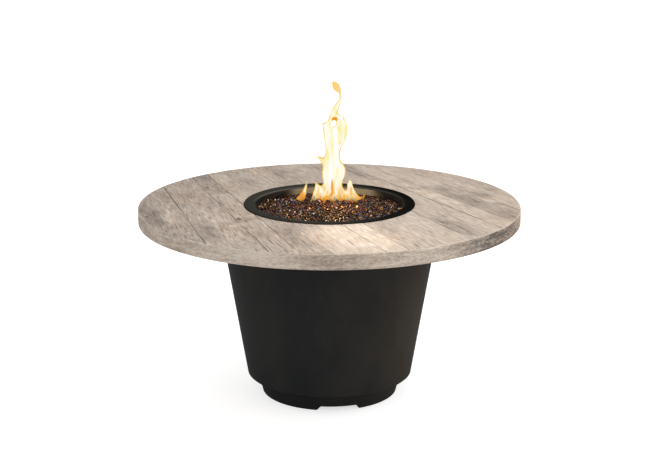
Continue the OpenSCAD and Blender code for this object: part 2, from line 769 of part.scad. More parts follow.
module glass_bed() difference() {
    rotate_extrude() polygon([
        [0, pan_floor_z], [pan_floor_r - glass_play, pan_floor_z], [bed_r, bed_z], [0, bed_z]]);
    burner_body(bury_play);
    translate([0, 0, pan_floor_z - past])
        cylinder(r = locknut_af / sqrt(3) + bury_play, h = hub_z - pan_floor_z + 2 * past);
    at_electrode() {
        translate([0, 0, pan_floor_z - past])
            cylinder(r = collar_r + bury_play, h = collar_t + bury_play + past);
        translate([0, 0, pan_floor_z]) cylinder(r = ceramic_r + bury_play, h = ceramic_high + bury_play);
        translate([0, 0, pan_floor_z])
            cylinder(r = spark_rod_r + bury_play, h = spark_rod_high + bury_play);
    }
    at_probe() {
        translate([0, 0, pan_floor_z - past])
            cylinder(r = collar_r + bury_play, h = collar_t + bury_play + past);
        translate([0, 0, pan_floor_z]) cylinder(r = probe_r + bury_play, h = probe_high + bury_play);
    }
}

// Burner ring with two spokes and a hub, grown by a clearance where the glass goes round it
module burner_body(play) {
    translate([0, 0, burner_z]) rotate_extrude() translate([burner_r, 0]) circle(r = tube_r + play);
    translate([-burner_r, 0, burner_z]) rotate([0, 90, 0]) cylinder(r = spoke_r + play, h = burner_d);
    translate([0, 0, hub_z - play]) cylinder(r = hub_r + play, h = burner_z + tube_r - hub_z + 2 * play);
}

module burner_ring() color("silver") difference() {
    burner_body(0);
    translate([0, 0, burner_z]) rotate_extrude() translate([burner_r, 0]) circle(r = tube_r - tube_wall);
    translate([-burner_r, 0, burner_z]) rotate([0, 90, 0]) cylinder(r = spoke_r - tube_wall, h = burner_d);
    translate([0, 0, hub_z - past]) cylinder(r = nipple_r + hole_play, h = nipple_grip + past);
    translate([0, 0, hub_z]) cylinder(r = nipple_bore_r, h = burner_lift - tube_wall);
    around(port_count, 180 / port_count) translate([burner_r, 0, burner_z])
        cylinder(d = port_d, h = 2 * tube_r);
}

module burner_nipple() color("silver") translate([0, 0, nipple_low_z])
    ring(nipple_r, nipple_bore_r, hub_z + nipple_grip - nipple_low_z);

module pan_locknuts() color("silver") {
    translate([0, 0, pan_floor_z]) nut(locknut_af, nipple_r + hole_play, hub_z - pan_floor_z);
    translate([0, 0, pan_under_z - locknut_t]) nut(locknut_af, nipple_r + hole_play, locknut_t);
}

module air_mixer() color("goldenrod") difference() {
    translate([0, 0, mixer_low_z]) cylinder(r = mixer_r, h = mixer_len);
    translate([0, 0, nipple_low_z]) cylinder(r = nipple_r + hole_play, h = socket_depth + past);
    translate([0, 0, mixer_low_z + orifice_t]) cylinder(r = nipple_bore_r, h = mixer_len);
    translate([0, 0, mixer_low_z - past]) cylinder(d = orifice_d, h = mixer_len);
    for (turn = [0, 90]) rotate([0, 90, turn])
        translate([-mixer_low_z - mixer_port_up, 0, -cut]) cylinder(d = mixer_port_d, h = 2 * cut);
}

// Elbow under the mixer, and the braided hose from the valve to it
module burner_elbow() color("goldenrod") difference() {
    union() {
        translate([0, 0, mixer_low_z - elbow_h]) cylinder(r = elbow_r, h = elbow_h);
        translate([0, 0, elbow_z]) rotate([-90, 0, 0]) cylinder(r = fitting_r, h = elbow_out);
    }
    translate([0, 0, elbow_z]) cylinder(r = elbow_bore_r, h = elbow_h);
    translate([0, 0, elbow_z]) rotate([-90, 0, 0]) cylinder(r = elbow_bore_r, h = elbow_out + past);
}

module at_elbow_end() translate([0, elbow_out, elbow_z]) rotate([-90, 0, 0]) children();

module at_valve_end() on_panel() translate([knob_x, 0, outlet_back]) mirror([0, 0, 1]) children();

module hose_ferrules() color("silver") {
    at_elbow_end() cylinder(r = fitting_r, h = ferrule_len);
    at_valve_end() cylinder(r = fitting_r, h = ferrule_len);
}

module hose_nuts() color("goldenrod") {
    at_elbow_end() translate([0, 0, -nut_grip]) nut(nut_af, fitting_r + hole_play, nut_len);
    at_valve_end() translate([0, 0, -nut_grip]) nut(nut_af, fitting_r + hole_play, nut_len);
}

module gas_hose() color([0.55, 0.55, 0.56])
    let (a = [0, elbow_out + ferrule_len, elbow_z])
    let (b = panel_point(knob_x, 0, hose_end))
    let (sag = [0, 0, -hose_sag])
        tube_along(curve(a, a + [0, hose_handle, 0] + sag, b + hose_handle * panel_in + sag, b, 24),
            hose_d / 2, [0, 1, 0], -panel_in, 12);

// Gas valve behind the control plate, with its stem, knob and inlet
module gas_valve() color("goldenrod") on_panel() difference() {
    union() {
        translate([knob_x - valve_w / 2, -valve_h / 2, valve_back]) cube([valve_w, valve_h, valve_len]);
        translate([knob_x, 0, valve_front - past]) cylinder(r = bush_r, h = bush_len - valve_front + past);
        translate([knob_x, 0, outlet_back]) cylinder(r = fitting_r, h = outlet_len + past);
        translate([knob_x, valve_h / 2 - past, sensor_port_z]) rotate([-90, 0, 0])
            cylinder(r = sensor_port_r, h = sensor_port_len + past);
    }
    translate([knob_x, 0, stem_low - stem_end_room]) cylinder(d = stem_d + 2 * run_play, h = cut);
    translate([knob_x, 0, outlet_back - past]) cylinder(r = elbow_bore_r, h = outlet_len);
    translate([knob_x, -valve_h / 2 - past, inlet_z]) rotate([-90, 0, 0])
        cylinder(r = elbow_bore_r, h = valve_h / 2);
}

module inlet_fitting() color("goldenrod") on_panel()
    translate([knob_x, -valve_h / 2, inlet_z]) rotate([90, 0, 0]) difference() {
        union() {
            hexagon(inlet_d + 2 * hex_wall, inlet_hex_t);
            cylinder(d = inlet_d, h = inlet_hex_t + inlet_len);
            translate([0, 0, inlet_hex_t + inlet_len])
                cylinder(r1 = inlet_d / 2 - inlet_nose_step, r2 = elbow_bore_r + inlet_nose_step,
                    h = inlet_nose);
        }
        translate([0, 0, -past])
            cylinder(r = elbow_bore_r, h = inlet_hex_t + inlet_len + inlet_nose + 2 * past);
    }

module valve_nut() color("silver") on_panel()
    translate([knob_x, 0, 0]) nut(bush_nut_af, bush_r + hole_play, bush_nut_t);

module valve_stem() color("goldenrod") on_panel()
    translate([knob_x, 0, stem_low]) cylinder(d = stem_d, h = stem_top - stem_low);

module gas_knob() color([0.08, 0.08, 0.09]) on_panel() translate([knob_x, 0, knob_lift]) difference() {
    rotate_extrude() polygon([
        [0, 0], [knob_d / 2, 0], [knob_d / 2, knob_skirt],
        [knob_d / 2 - knob_draft, knob_h - knob_round],
        [knob_d / 2 - knob_draft - knob_round, knob_h], [0, knob_h]]);
    translate([0, 0, -past]) cylinder(r = bush_nut_af / sqrt(3) + knob_nut_room, h = knob_pocket + past);
    cylinder(d = stem_d + 2 * hole_play, h = stem_top - knob_lift + stem_cap_room);
    for (side = [-1, 1]) translate([side * (knob_d / 2 + grip_w / 2), 0, knob_h / 2 + knob_skirt])
        cube([knob_d, knob_d, knob_h], center = true);
    translate([-mark_w / 2, knob_d / 2 - mark_len, knob_h - mark_deep]) cube([mark_w, mark_len, cut]);
}

// Control plate and the push-button igniter
module at_plate_screws() on_panel() for (sx = [-1, 1]) for (sy = [-1, 1])
    translate([sx * (panel_w / 2 - panel_screw_in), sy * (panel_h / 2 - panel_screw_in), 0]) children();

module control_plate() color("silver") difference() {
    on_panel() translate([0, 0, -panel_t]) linear_extrude(panel_t)
        square([panel_w, panel_h], center = true);
    on_panel() translate([knob_x, 0, -panel_t - past])
        cylinder(r = bush_r + hole_play, h = panel_t + 2 * past);
    on_panel() translate([igniter_x, 0, -panel_t - past])
        cylinder(d = collar_d + 2 * hole_play, h = panel_t + 2 * past);
    at_plate_screws() screw_hole(plate_screw_len);
}

module plate_screws() color("silver") at_plate_screws() small_screw(plate_screw_len);

module igniter_collar() color([0.6, 0.6, 0.62]) on_panel() translate([igniter_x, 0, 0]) difference() {
    union() {
        translate([0, 0, -collar_len]) cylinder(d = collar_d, h = collar_len);
        cylinder(d1 = collar_flange_d, d2 = collar_flange_d - 2 * collar_bevel, h = collar_flange_t);
    }
    translate([0, 0, -collar_len - past]) cylinder(d = button_d + 2 * run_play, h = cut);
}

module collar_nut() color("silver") on_panel() translate([igniter_x, 0, -panel_t - collar_nut_t])
    nut(collar_nut_af, collar_d / 2 + hole_play, collar_nut_t);

module igniter_button() color([0.55, 0.08, 0.06]) on_panel() translate([igniter_x, 0, 0]) difference() {
    translate([0, 0, button_low]) cylinder(d = button_d, h = button_top - button_low);
    translate([0, 0, button_top + button_dish_r - button_dish]) sphere(r = button_dish_r);
}

module igniter_module() color([0.1, 0.1, 0.11]) on_panel()
    translate([igniter_x, 0, module_back]) difference() {
    union() {
        cylinder(r = module_r, h = module_len);
        translate([0, 0, -plug_len]) cylinder(r = plug_r, h = plug_len + past);
    }
    translate([0, 0, module_wall]) cylinder(r = cell_r + hole_play, h = module_len - 2 * module_wall);
}

module igniter_cell() color([0.75, 0.6, 0.2]) on_panel()
    translate([igniter_x, 0, module_back + module_wall]) cylinder(r = cell_r, h = cell_len);

module ignition_lead() color([0.25, 0.25, 0.26])
    let (a = panel_point(igniter_x, 0, module_back - plug_len))
    let (b = [-sensor_x, sensor_y, pan_under_z - terminal_low])
        tube_along(curve(a, a + lead_handle * panel_in, b - [0, 0, lead_handle], b, 20),
            lead_r, panel_in, [0, 0, 1], 8);

// Spark electrode and thermocouple in the pan's floor
module at_electrode() translate([-sensor_x, sensor_y, 0]) children();

module at_probe() translate([sensor_x, sensor_y, 0]) children();

module spark_insulator() color("white") at_electrode() difference() {
    union() {
        translate([0, 0, pan_under_z - ceramic_low])
            cylinder(r = ceramic_r, h = ceramic_low + pan_sheet + ceramic_high);
        translate([0, 0, pan_floor_z]) cylinder(r = collar_r, h = collar_t);
    }
    translate([0, 0, pan_under_z - cut]) cylinder(r = spark_rod_r + hole_play, h = 3 * cut);
}

module spark_rod() color("silver") at_electrode() translate([0, 0, pan_under_z - terminal_low])
    cylinder(r = spark_rod_r, h = terminal_low + pan_sheet + spark_rod_high);

module electrode_nut() color("silver") at_electrode() translate([0, 0, pan_under_z - sensor_nut_t])
    nut(sensor_nut_af, ceramic_r + hole_play, sensor_nut_t);

module thermocouple() color([0.72, 0.45, 0.3]) at_probe() {
    translate([0, 0, pan_under_z - probe_low])
        cylinder(r = probe_r, h = probe_low + pan_sheet + probe_high);
    translate([0, 0, pan_floor_z]) cylinder(r = collar_r, h = collar_t);
}

module thermocouple_nut() color("silver") at_probe() translate([0, 0, pan_under_z - sensor_nut_t])
    nut(sensor_nut_af, probe_r + hole_play, sensor_nut_t);

module thermocouple_lead() color([0.72, 0.45, 0.3])
    let (a = panel_point(knob_x, valve_h / 2 + sensor_port_len, sensor_port_z))
    let (b = [sensor_x, sensor_y, pan_under_z - probe_low])
        tube_along(curve(a, a + probe_lead_rise * panel_up, b - [0, 0, lead_handle], b, 20),
            lead_r, panel_up, [0, 0, 1], 8);

table_top();
top_anchors();
top_bolts();
top_washers();
bedding_gasket();
pedestal();
plinth();
plinth_bolts();
plinth_washers();
plinth_anchors();
access_door();
door_stop();
stop_screws();
hinge_frame_leaves();
hinge_door_leaves();
hinge_pins();
hinge_frame_screws();
hinge_door_screws();
door_pull();
pull_screw();
catch_magnets();
strike_plates();
rim_gasket();
fire_pan();
pan_rim();
fire_glass();
burner_ring();
burner_nipple();
pan_locknuts();
air_mixer();
burner_elbow();
gas_hose();
hose_nuts();
hose_ferrules();
gas_valve();
valve_nut();
valve_stem();
gas_knob();
inlet_fitting();
control_plate();
plate_screws();
igniter_collar();
collar_nut();
igniter_button();
igniter_module();
igniter_cell();
ignition_lead();
spark_insulator();
spark_rod();
electrode_nut();
thermocouple();
thermocouple_nut();
thermocouple_lead();
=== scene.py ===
"""Round gas fire table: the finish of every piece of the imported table, a small flame and a plain stage."""
import json
import math
import random

import bmesh
import bpy
from bpy.props import FloatProperty, FloatVectorProperty, IntProperty, PointerProperty
from mathutils import Matrix, Vector, noise
from mathutils.geometry import delaunay_2d_cdt


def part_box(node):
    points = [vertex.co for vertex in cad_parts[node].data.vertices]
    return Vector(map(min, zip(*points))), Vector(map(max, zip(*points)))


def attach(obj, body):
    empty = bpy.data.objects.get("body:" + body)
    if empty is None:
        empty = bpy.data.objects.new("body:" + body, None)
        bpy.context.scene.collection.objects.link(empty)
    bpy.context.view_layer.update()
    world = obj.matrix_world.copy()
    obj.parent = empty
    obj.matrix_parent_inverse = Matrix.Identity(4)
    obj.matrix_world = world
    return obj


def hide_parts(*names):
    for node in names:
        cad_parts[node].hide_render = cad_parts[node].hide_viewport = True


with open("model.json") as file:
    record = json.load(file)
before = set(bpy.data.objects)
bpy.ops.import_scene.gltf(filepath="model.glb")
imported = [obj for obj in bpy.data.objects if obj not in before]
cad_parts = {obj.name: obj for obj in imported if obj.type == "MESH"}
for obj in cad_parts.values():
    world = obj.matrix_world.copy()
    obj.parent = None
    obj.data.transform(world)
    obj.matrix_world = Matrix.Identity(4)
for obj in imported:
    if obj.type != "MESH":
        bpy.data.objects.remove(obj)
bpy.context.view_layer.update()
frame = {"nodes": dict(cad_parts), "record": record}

bl_info = {
    "name": "Round fire table",
    "version": (1, 0, 0),
    "blender": (4, 5, 0),
    "location": "3D View > Sidebar > Fire table",
    "description": "Dresses a round gas fire table with a plank-cast top",
    "category": "Object",
}

TOP_LOW, TOP_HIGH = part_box("table_top")
RIM_LOW, RIM_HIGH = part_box("pan_rim")
GLASS_LOW, GLASS_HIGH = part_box("fire_glass")

NODE_SLOT = {part["node"]: part["material_slot"] for part in frame["record"]["subparts"]}
NODE_BODY = {node: body for body, nodes in frame["record"]["behaviour"]["bodies"].items() for node in nodes}

# Plank joints of the cast top: offset from the middle, square to the planks, and how strongly each is cut
PLANK_JOINTS = {
    -0.556: 0.25, -0.479: 1.0, -0.339: 0.7, -0.267: 0.65, -0.193: 0.4, -0.139: 0.3, -0.064: 0.4,
    -0.003: 0.55, 0.066: 0.3, 0.189: 0.65, 0.270: 0.3, 0.318: 0.6, 0.385: 0.5, 0.481: 0.6, 0.556: 0.3,
}
# Tones of each plank behind and in front of the pan, from the left: below 0 is darker than the mean
PLANK_TONES = [
    (-1.0, -1.0), (-0.4, -0.4), (-0.3, -0.2), (-0.85, -0.75), (0.1, -0.2), (-0.1, 0.4), (0.0, 1.0),
    (-0.2, 1.1), (-0.3, 0.3), (0.0, 0.8), (0.1, 0.3), (-0.6, -0.4), (0.5, 0.6), (0.4, 0.4), (0.2, 0.2),
    (0.1, 0.1),
]
# Butt joints: offsets of the plank's two sides, place along it, and the change of tone past the joint
BUTT_JOINTS = [
    (-0.339, -0.267, -0.265, 1.0), (0.270, 0.318, -0.258, 1.1), (0.385, 0.481, -0.095, -0.6),
]
# Cracks along the grain: offset, start and end along the plank, and strength
CRACKS = [
    (-0.444, -0.40, -0.25, 0.7), (-0.339, -0.28, -0.21, 1.0), (-0.345, -0.50, -0.38, 0.6),
    (-0.331, -0.20, 0.06, 0.8), (-0.319, -0.12, 0.05, 0.6), (-0.333, 0.14, 0.22, 0.9),
    (-0.317, 0.14, 0.22, 0.9), (-0.303, 0.10, 0.20, 0.5), (-0.334, 0.24, 0.40, 0.6),
    (-0.328, 0.38, 0.49, 0.7), (-0.308, 0.31, 0.41, 0.8), (-0.295, 0.36, 0.49, 0.7),
    (-0.285, 0.30, 0.46, 0.5), (-0.250, 0.33, 0.44, 0.5), (-0.235, 0.20, 0.32, 0.5),
    (-0.225, 0.33, 0.48, 0.9), (-0.214, 0.22, 0.31, 0.5), (-0.207, 0.32, 0.53, 0.95),
    (-0.198, 0.40, 0.53, 0.8), (-0.180, 0.36, 0.42, 0.8), (-0.165, 0.40, 0.52, 0.8),
    (-0.148, 0.44, 0.52, 0.6), (-0.113, 0.42, 0.56, 1.0), (0.032, 0.54, 0.60, 0.8),
    (0.196, 0.44, 0.56, 0.7), (0.203, 0.33, 0.39, 1.0), (0.222, 0.39, 0.50, 1.0),
    (0.246, 0.26, 0.32, 0.7), (0.261, 0.30, 0.44, 0.6), (0.319, 0.15, 0.32, 0.8),
    (0.300, -0.31, -0.16, 0.8), (0.330, -0.53, -0.40, 0.8), (0.285, -0.43, -0.28, 0.6),
    (0.255, -0.45, -0.33, 0.6), (0.405, 0.05, 0.16, 0.6), (0.424, 0.10, 0.20, 0.5),
    (0.440, -0.09, 0.00, 0.5), (0.478, 0.21, 0.32, 1.0), (0.492, 0.04, 0.14, 0.8),
    (0.503, -0.10, 0.00, 0.6), (-0.005, -0.60, -0.54, 0.9), (-0.008, -0.49, -0.44, 0.8),
    (-0.183, -0.57, -0.47, 0.7), (0.105, -0.52, -0.38, 0.4), (0.060, -0.59, -0.50, 0.4),
    (-0.100, -0.57, -0.46, 0.4),
]
# Soft stains: offset, place along the plank, half width, half length and strength
STAINS = [
    (-0.300, -0.51, 0.040, 0.060, 0.5), (-0.425, -0.27, 0.028, 0.035, 0.8),
    (-0.445, 0.20, 0.028, 0.085, 0.9), (-0.585, -0.05, 0.030, 0.140, 0.6),
    (-0.325, 0.092, 0.018, 0.035, 1.0), (-0.298, 0.09, 0.010, 0.025, 0.7),
    (-0.313, 0.29, 0.026, 0.045, 0.6), (-0.240, 0.36, 0.022, 0.110, 0.7),
    (-0.148, -0.385, 0.030, 0.055, 0.7), (-0.500, -0.30, 0.035, 0.080, 0.4),
    (0.030, 0.37, 0.034, 0.080, 0.6), (0.205, 0.36, 0.020, 0.060, 0.5),
    (0.220, 0.45, 0.024, 0.090, 0.9), (0.245, 0.28, 0.018, 0.045, 0.4),
    (0.415, 0.055, 0.030, 0.030, 0.6), (0.425, -0.03, 0.035, 0.060, 0.5),
    (0.425, 0.14, 0.030, 0.070, 0.7), (0.410, 0.32, 0.035, 0.080, 0.6),
    (0.495, 0.08, 0.018, 0.060, 0.5), (0.515, 0.06, 0.030, 0.050, 0.4),
    (0.580, 0.01, 0.025, 0.020, 0.5), (0.560, 0.03, 0.022, 0.016, 0.4),
    (0.285, -0.40, 0.034, 0.090, 0.4), (0.015, -0.46, 0.030, 0.070, 0.5),
    (0.200, -0.52, 0.050, 0.050, 0.5),
]
# Paler worn stretches of the print, in the same terms
WORN = [
    (-0.395, 0.05, 0.030, 0.16, 0.7), (-0.405, 0.27, 0.020, 0.05, 0.8),
    (-0.360, 0.20, 0.020, 0.10, 0.4), (-0.530, -0.02, 0.020, 0.09, 0.8),
    (-0.500, 0.17, 0.020, 0.03, 0.6), (-0.062, -0.45, 0.012, 0.13, 0.9),
    (-0.045, 0.53, 0.035, 0.04, 0.5), (0.350, 0.05, 0.028, 0.15, 0.6), (0.350, 0.28, 0.030, 0.06, 0.4),
    (0.468, 0.18, 0.012, 0.08, 0.7), (0.160, 0.33, 0.030, 0.06, 0.4), (-0.276, 0.15, 0.006, 0.22, 0.8),
]
# Knots and nail heads: offset, place along the plank, radius and strength
KNOTS = [
    (-0.322, -0.371, 0.007, 1.0), (-0.322, -0.220, 0.006, 1.0), (-0.340, -0.255, 0.005, 1.0),
    (-0.328, 0.078, 0.011, 0.9), (-0.313, 0.108, 0.008, 0.8), (-0.297, 0.098, 0.006, 0.9),
    (-0.598, -0.055, 0.009, 0.8), (-0.356, -0.024, 0.004, 0.6), (-0.356, 0.045, 0.005, 0.6),
    (0.206, 0.360, 0.004, 0.8), (0.290, 0.315, 0.005, 0.7), (0.245, 0.286, 0.004, 0.6),
    (0.280, -0.207, 0.005, 0.8), (0.395, 0.062, 0.005, 0.7), (0.354, 0.109, 0.003, 0.5),
]
# Painted light and shade on the slab's edge, darkest at the right and front right and lightest at the front
# left: bearing and half width in degrees, and the change of tone
EDGE_LIGHT_AND_SHADE = [
    (-35, 26, -3.5), (-14, 16, -1.4), (-117, 24, 1.6), (-162, 16, -0.5), (-92, 12, -0.5),
    (-62, 14, 0.5),
]
# Outlines of the two flames and of the hole in the first, in millimetres: distance to the right and height
TALL_FLAME = [
    (-66, 596), (-60, 617), (-53, 641), (-47, 663), (-46, 673), (-49, 682), (-41, 677), (-34, 670),
    (-27, 667), (-21, 673), (-20, 682), (-23, 700), (-23, 715), (-22, 730), (-26, 742), (-33, 752),
    (-38, 760), (-40, 768), (-34, 764), (-25, 760), (-17, 761), (-14, 769), (-13, 787), (-16, 813),
    (-19, 841), (-21, 859), (-23, 870), (-16, 873), (-6, 879), (-1, 892), (5, 909), (13, 926),
    (24, 938), (30, 948), (31, 958), (30, 967), (20, 974), (12, 983), (9, 994), (10, 1006), (21, 1004),
    (29, 998), (34, 989), (37, 976), (39, 958), (38, 939), (32, 924), (28, 912), (26, 905), (34, 899),
    (44, 891), (52, 878), (57, 864), (58, 850), (56, 833), (53, 820), (46, 806), (39, 793), (35, 778),
    (34, 761), (38, 748), (45, 737), (51, 725), (52, 710), (48, 695), (43, 682), (42, 669), (45, 658),
    (51, 651), (57, 657), (57, 668), (60, 680), (66, 685), (71, 681), (74, 671), (78, 659), (85, 646),
    (93, 635), (102, 629), (109, 631), (112, 640), (115, 633), (112, 625), (102, 620), (92, 616),
    (90, 606), (92, 596), (82, 610), (70, 616), (58, 612), (46, 618), (34, 612), (22, 618), (12, 602),
    (2, 616), (-8, 618), (-16, 602), (-24, 616), (-36, 622), (-48, 614), (-58, 602),
]
FLAME_HOLE = [
    (4, 863), (6, 871), (11, 878), (16, 881), (21, 877), (22, 871), (19, 865), (13, 860), (7, 858),
]
SMALL_FLAME = [
    (-71, 683), (-72, 669), (-74, 652), (-76, 638), (-79, 624), (-87, 614), (-96, 616), (-108, 622),
    (-99, 633), (-90, 645), (-82, 660), (-76, 673),
]
# Orange spots in the flames, in metres: distance to the right, height, half width, half height and strength
FLAME_SPOTS = [
    (0.017, 0.886, 0.012, 0.010, 1.0), (0.009, 0.665, 0.005, 0.034, 0.9),
    (-0.090, 0.630, 0.012, 0.022, 0.8), (0.070, 0.650, 0.006, 0.018, 0.6),
    (-0.030, 0.630, 0.005, 0.020, 0.5), (0.034, 0.636, 0.006, 0.016, 0.5),
]


def srgb(red, green, blue):
    """A colour given as 0 to 255 screen values, as Blender's linear colour with full alpha."""
    def linear(value):
        share = value / 255
        return share / 12.92 if share <= 0.04045 else ((share + 0.055) / 1.055) ** 2.4
    return linear(red), linear(green), linear(blue), 1.0


def colour_of(prop):
    """A colour property as a socket takes it."""
    return (*prop, 1.0)


WHITE = srgb(255, 255, 255)


class Value:
    """An output socket whose arithmetic adds Math nodes to its tree."""

    def __init__(self, tree, socket):
        self.tree = tree
        self.socket = socket

    def math(self, operation, first, second):
        return self.tree.node("ShaderNodeMath", {"operation": operation}, {0: first, 1: second})

    def __add__(self, other):
        return self.math("ADD", self, other)

    def __radd__(self, other):
        return self.math("ADD", other, self)

    def __sub__(self, other):
        return self.math("SUBTRACT", self, other)

    def __rsub__(self, other):
        return self.math("SUBTRACT", other, self)

    def __mul__(self, other):
        return self.math("MULTIPLY", self, other)

    def __rmul__(self, other):
        return self.math("MULTIPLY", other, self)

    def __truediv__(self, other):
        return self.math("DIVIDE", self, other)

    def __pow__(self, other):
        return self.math("POWER", self, other)

    def over(self, limit):
        return self.math("GREATER_THAN", self, limit)

    def under(self, limit):
        return self.math("LESS_THAN", self, limit)


class Tree:
    """A node tree: node() adds any node and gives back one of its outputs."""

    def __init__(self, tree):
        self.tree = tree
        tree.nodes.clear()

    def node(self, kind, settings=None, inputs=None, output=0):
        """Adds a node, makes its settings first, then sets or links its sockets by place or name."""
        made = self.tree.nodes.new(kind)
        for key, value in (settings or {}).items():
            if key == "stops":
                set_stops(made.color_ramp, value)
            else:
                setattr(made, key, value)
        for key, value in (inputs or {}).items():
            if isinstance(value, Value):
                self.tree.links.new(value.socket, made.inputs[key])
            else:
                made.inputs[key].default_value = value
        return Value(self, made.outputs[output]) if made.outputs else made


def set_stops(ramp, stops):
    """Gives a colour ramp its stops, each a place and a colour."""
    while len(ramp.elements) < len(stops):
        ramp.elements.new(1.0)
    for element, (place, colour) in zip(ramp.elements, stops):
        element.position = place
        element.color = colour


class Finish(Tree):
    """A material on Object coordinates, closed by one shader."""

    def __init__(self, name):
        self.material = bpy.data.materials.new(name)
        self.material.use_nodes = True
        super().__init__(self.material.node_tree)
        self.coords = self.node("ShaderNodeTexCoord", output="Object")

    def axes(self):
        """The three Object coordinates as values."""
        return [self.node("ShaderNodeSeparateXYZ", None, {0: self.coords}, axis) for axis in range(3)]

    def point(self, x, y, z):
        return self.node("ShaderNodeCombineXYZ", None, {0: x, 1: y, 2: z})

    def stretched(self, x, y, z):
        """Object coordinates scaled along each axis, in cells per metre."""
        return self.node("ShaderNodeMapping", None, {"Vector": self.coords, "Scale": (x, y, z)})

    def even(self, cells):
        """Object coordinates scaled alike along all axes, in cells per metre."""
        return self.stretched(cells, cells, cells)

    def noise(self, vector, detail=3.0, roughness=0.5, distortion=0.0):
        return self.node("ShaderNodeTexNoise", None, {
            "Vector": vector, "Scale": 1.0, "Detail": detail, "Roughness": roughness,
            "Distortion": distortion})

    def ramp(self, factor, *stops):
        return self.node("ShaderNodeValToRGB", {"stops": stops}, {0: factor})

    def between(self, value, low, high, new_low=0.0, new_high=1.0):
        """Carries a value from one range to another, held at its ends."""
        return self.node("ShaderNodeMapRange", {"interpolation_type": "SMOOTHSTEP"}, {
            "Value": value, "From Min": low, "From Max": high, "To Min": new_low, "To Max": new_high})

    def mix(self, factor, first, second, blend="MIX"):
        return self.node("ShaderNodeMix", {"data_type": "RGBA", "blend_type": blend},
                         {0: factor, 6: first, 7: second}, output=2)

    def attribute(self, name):
        return self.node("ShaderNodeAttribute", {"attribute_name": name}, output="Fac")

    def end(self, shader):
        """Gives the material its surface."""
        self.node("ShaderNodeOutputMaterial", None, {"Surface": shader})
        return self.material

    def close(self, colour, roughness, height, bump, distance, **further):
        """Ends the tree: the height feeds a bump, and further values go to the sockets that they name."""
        normal = self.node("ShaderNodeBump", None, {"Strength": bump, "Distance": distance, "Height": height})
        sockets = {"Base Color": colour, "Roughness": roughness, "Normal": normal}
        sockets.update({name.replace("_", " "): value for name, value in further.items()})
        return self.end(self.node("ShaderNodeBsdfPrincipled", None, sockets))


# Finishes

# Patterns of the plank print: cells per metre across, along and down, how far a plank's own shift slides the
# pattern along it, and the noise's detail, roughness and distortion
PLANK_PATTERNS = {
    "grain": ((90.0, 13.0, 60.0), 2.0, 5.0, 0.62, 0.6),
    "streak": ((270.0, 26.0, 200.0), 0.0, 3.0, 0.60, 0.0),
    "cloud": ((11.0, 5.5, 9.0), 1.0, 4.0, 0.55, 0.4),
    "blotch": ((46.0, 20.0, 46.0), 1.0, 4.0, 0.65, 0.0),
    "speck": ((250.0, 17.0, 230.0), 0.0, 2.0, 0.65, 0.0),
    "rings": ((26.0, 3.2, 20.0), 1.0, 1.0, 0.50, 1.2),
}
# Share of each of them but the rings in the tone of the top
TOP_SHARES = {"grain": 0.50, "cloud": 0.36, "blotch": 0.50, "streak": 0.70, "speck": 1.25}
# Patterns of the slab's edge, from coarse to fine: cells per metre, detail, roughness and share in its tone
EDGE_PATTERNS = [
    ((20.0, 20.0, 44.0), 5.0, 0.6, 0.75),
    ((9.0, 9.0, 90.0), 3.0, 0.6, 1.20),
    ((80.0, 80.0, 240.0), 3.0, 0.7, 1.75),
]
# Shift of the print from one plank to the next and past a butt joint, and darkness of such a joint
PLANK_SHIFT = 5.0
BUTT_SHIFT = 3.7
BUTT_MARK = 0.45
# Growth rings that the print shows across one cell of their pattern
RING_COUNT = 9.0


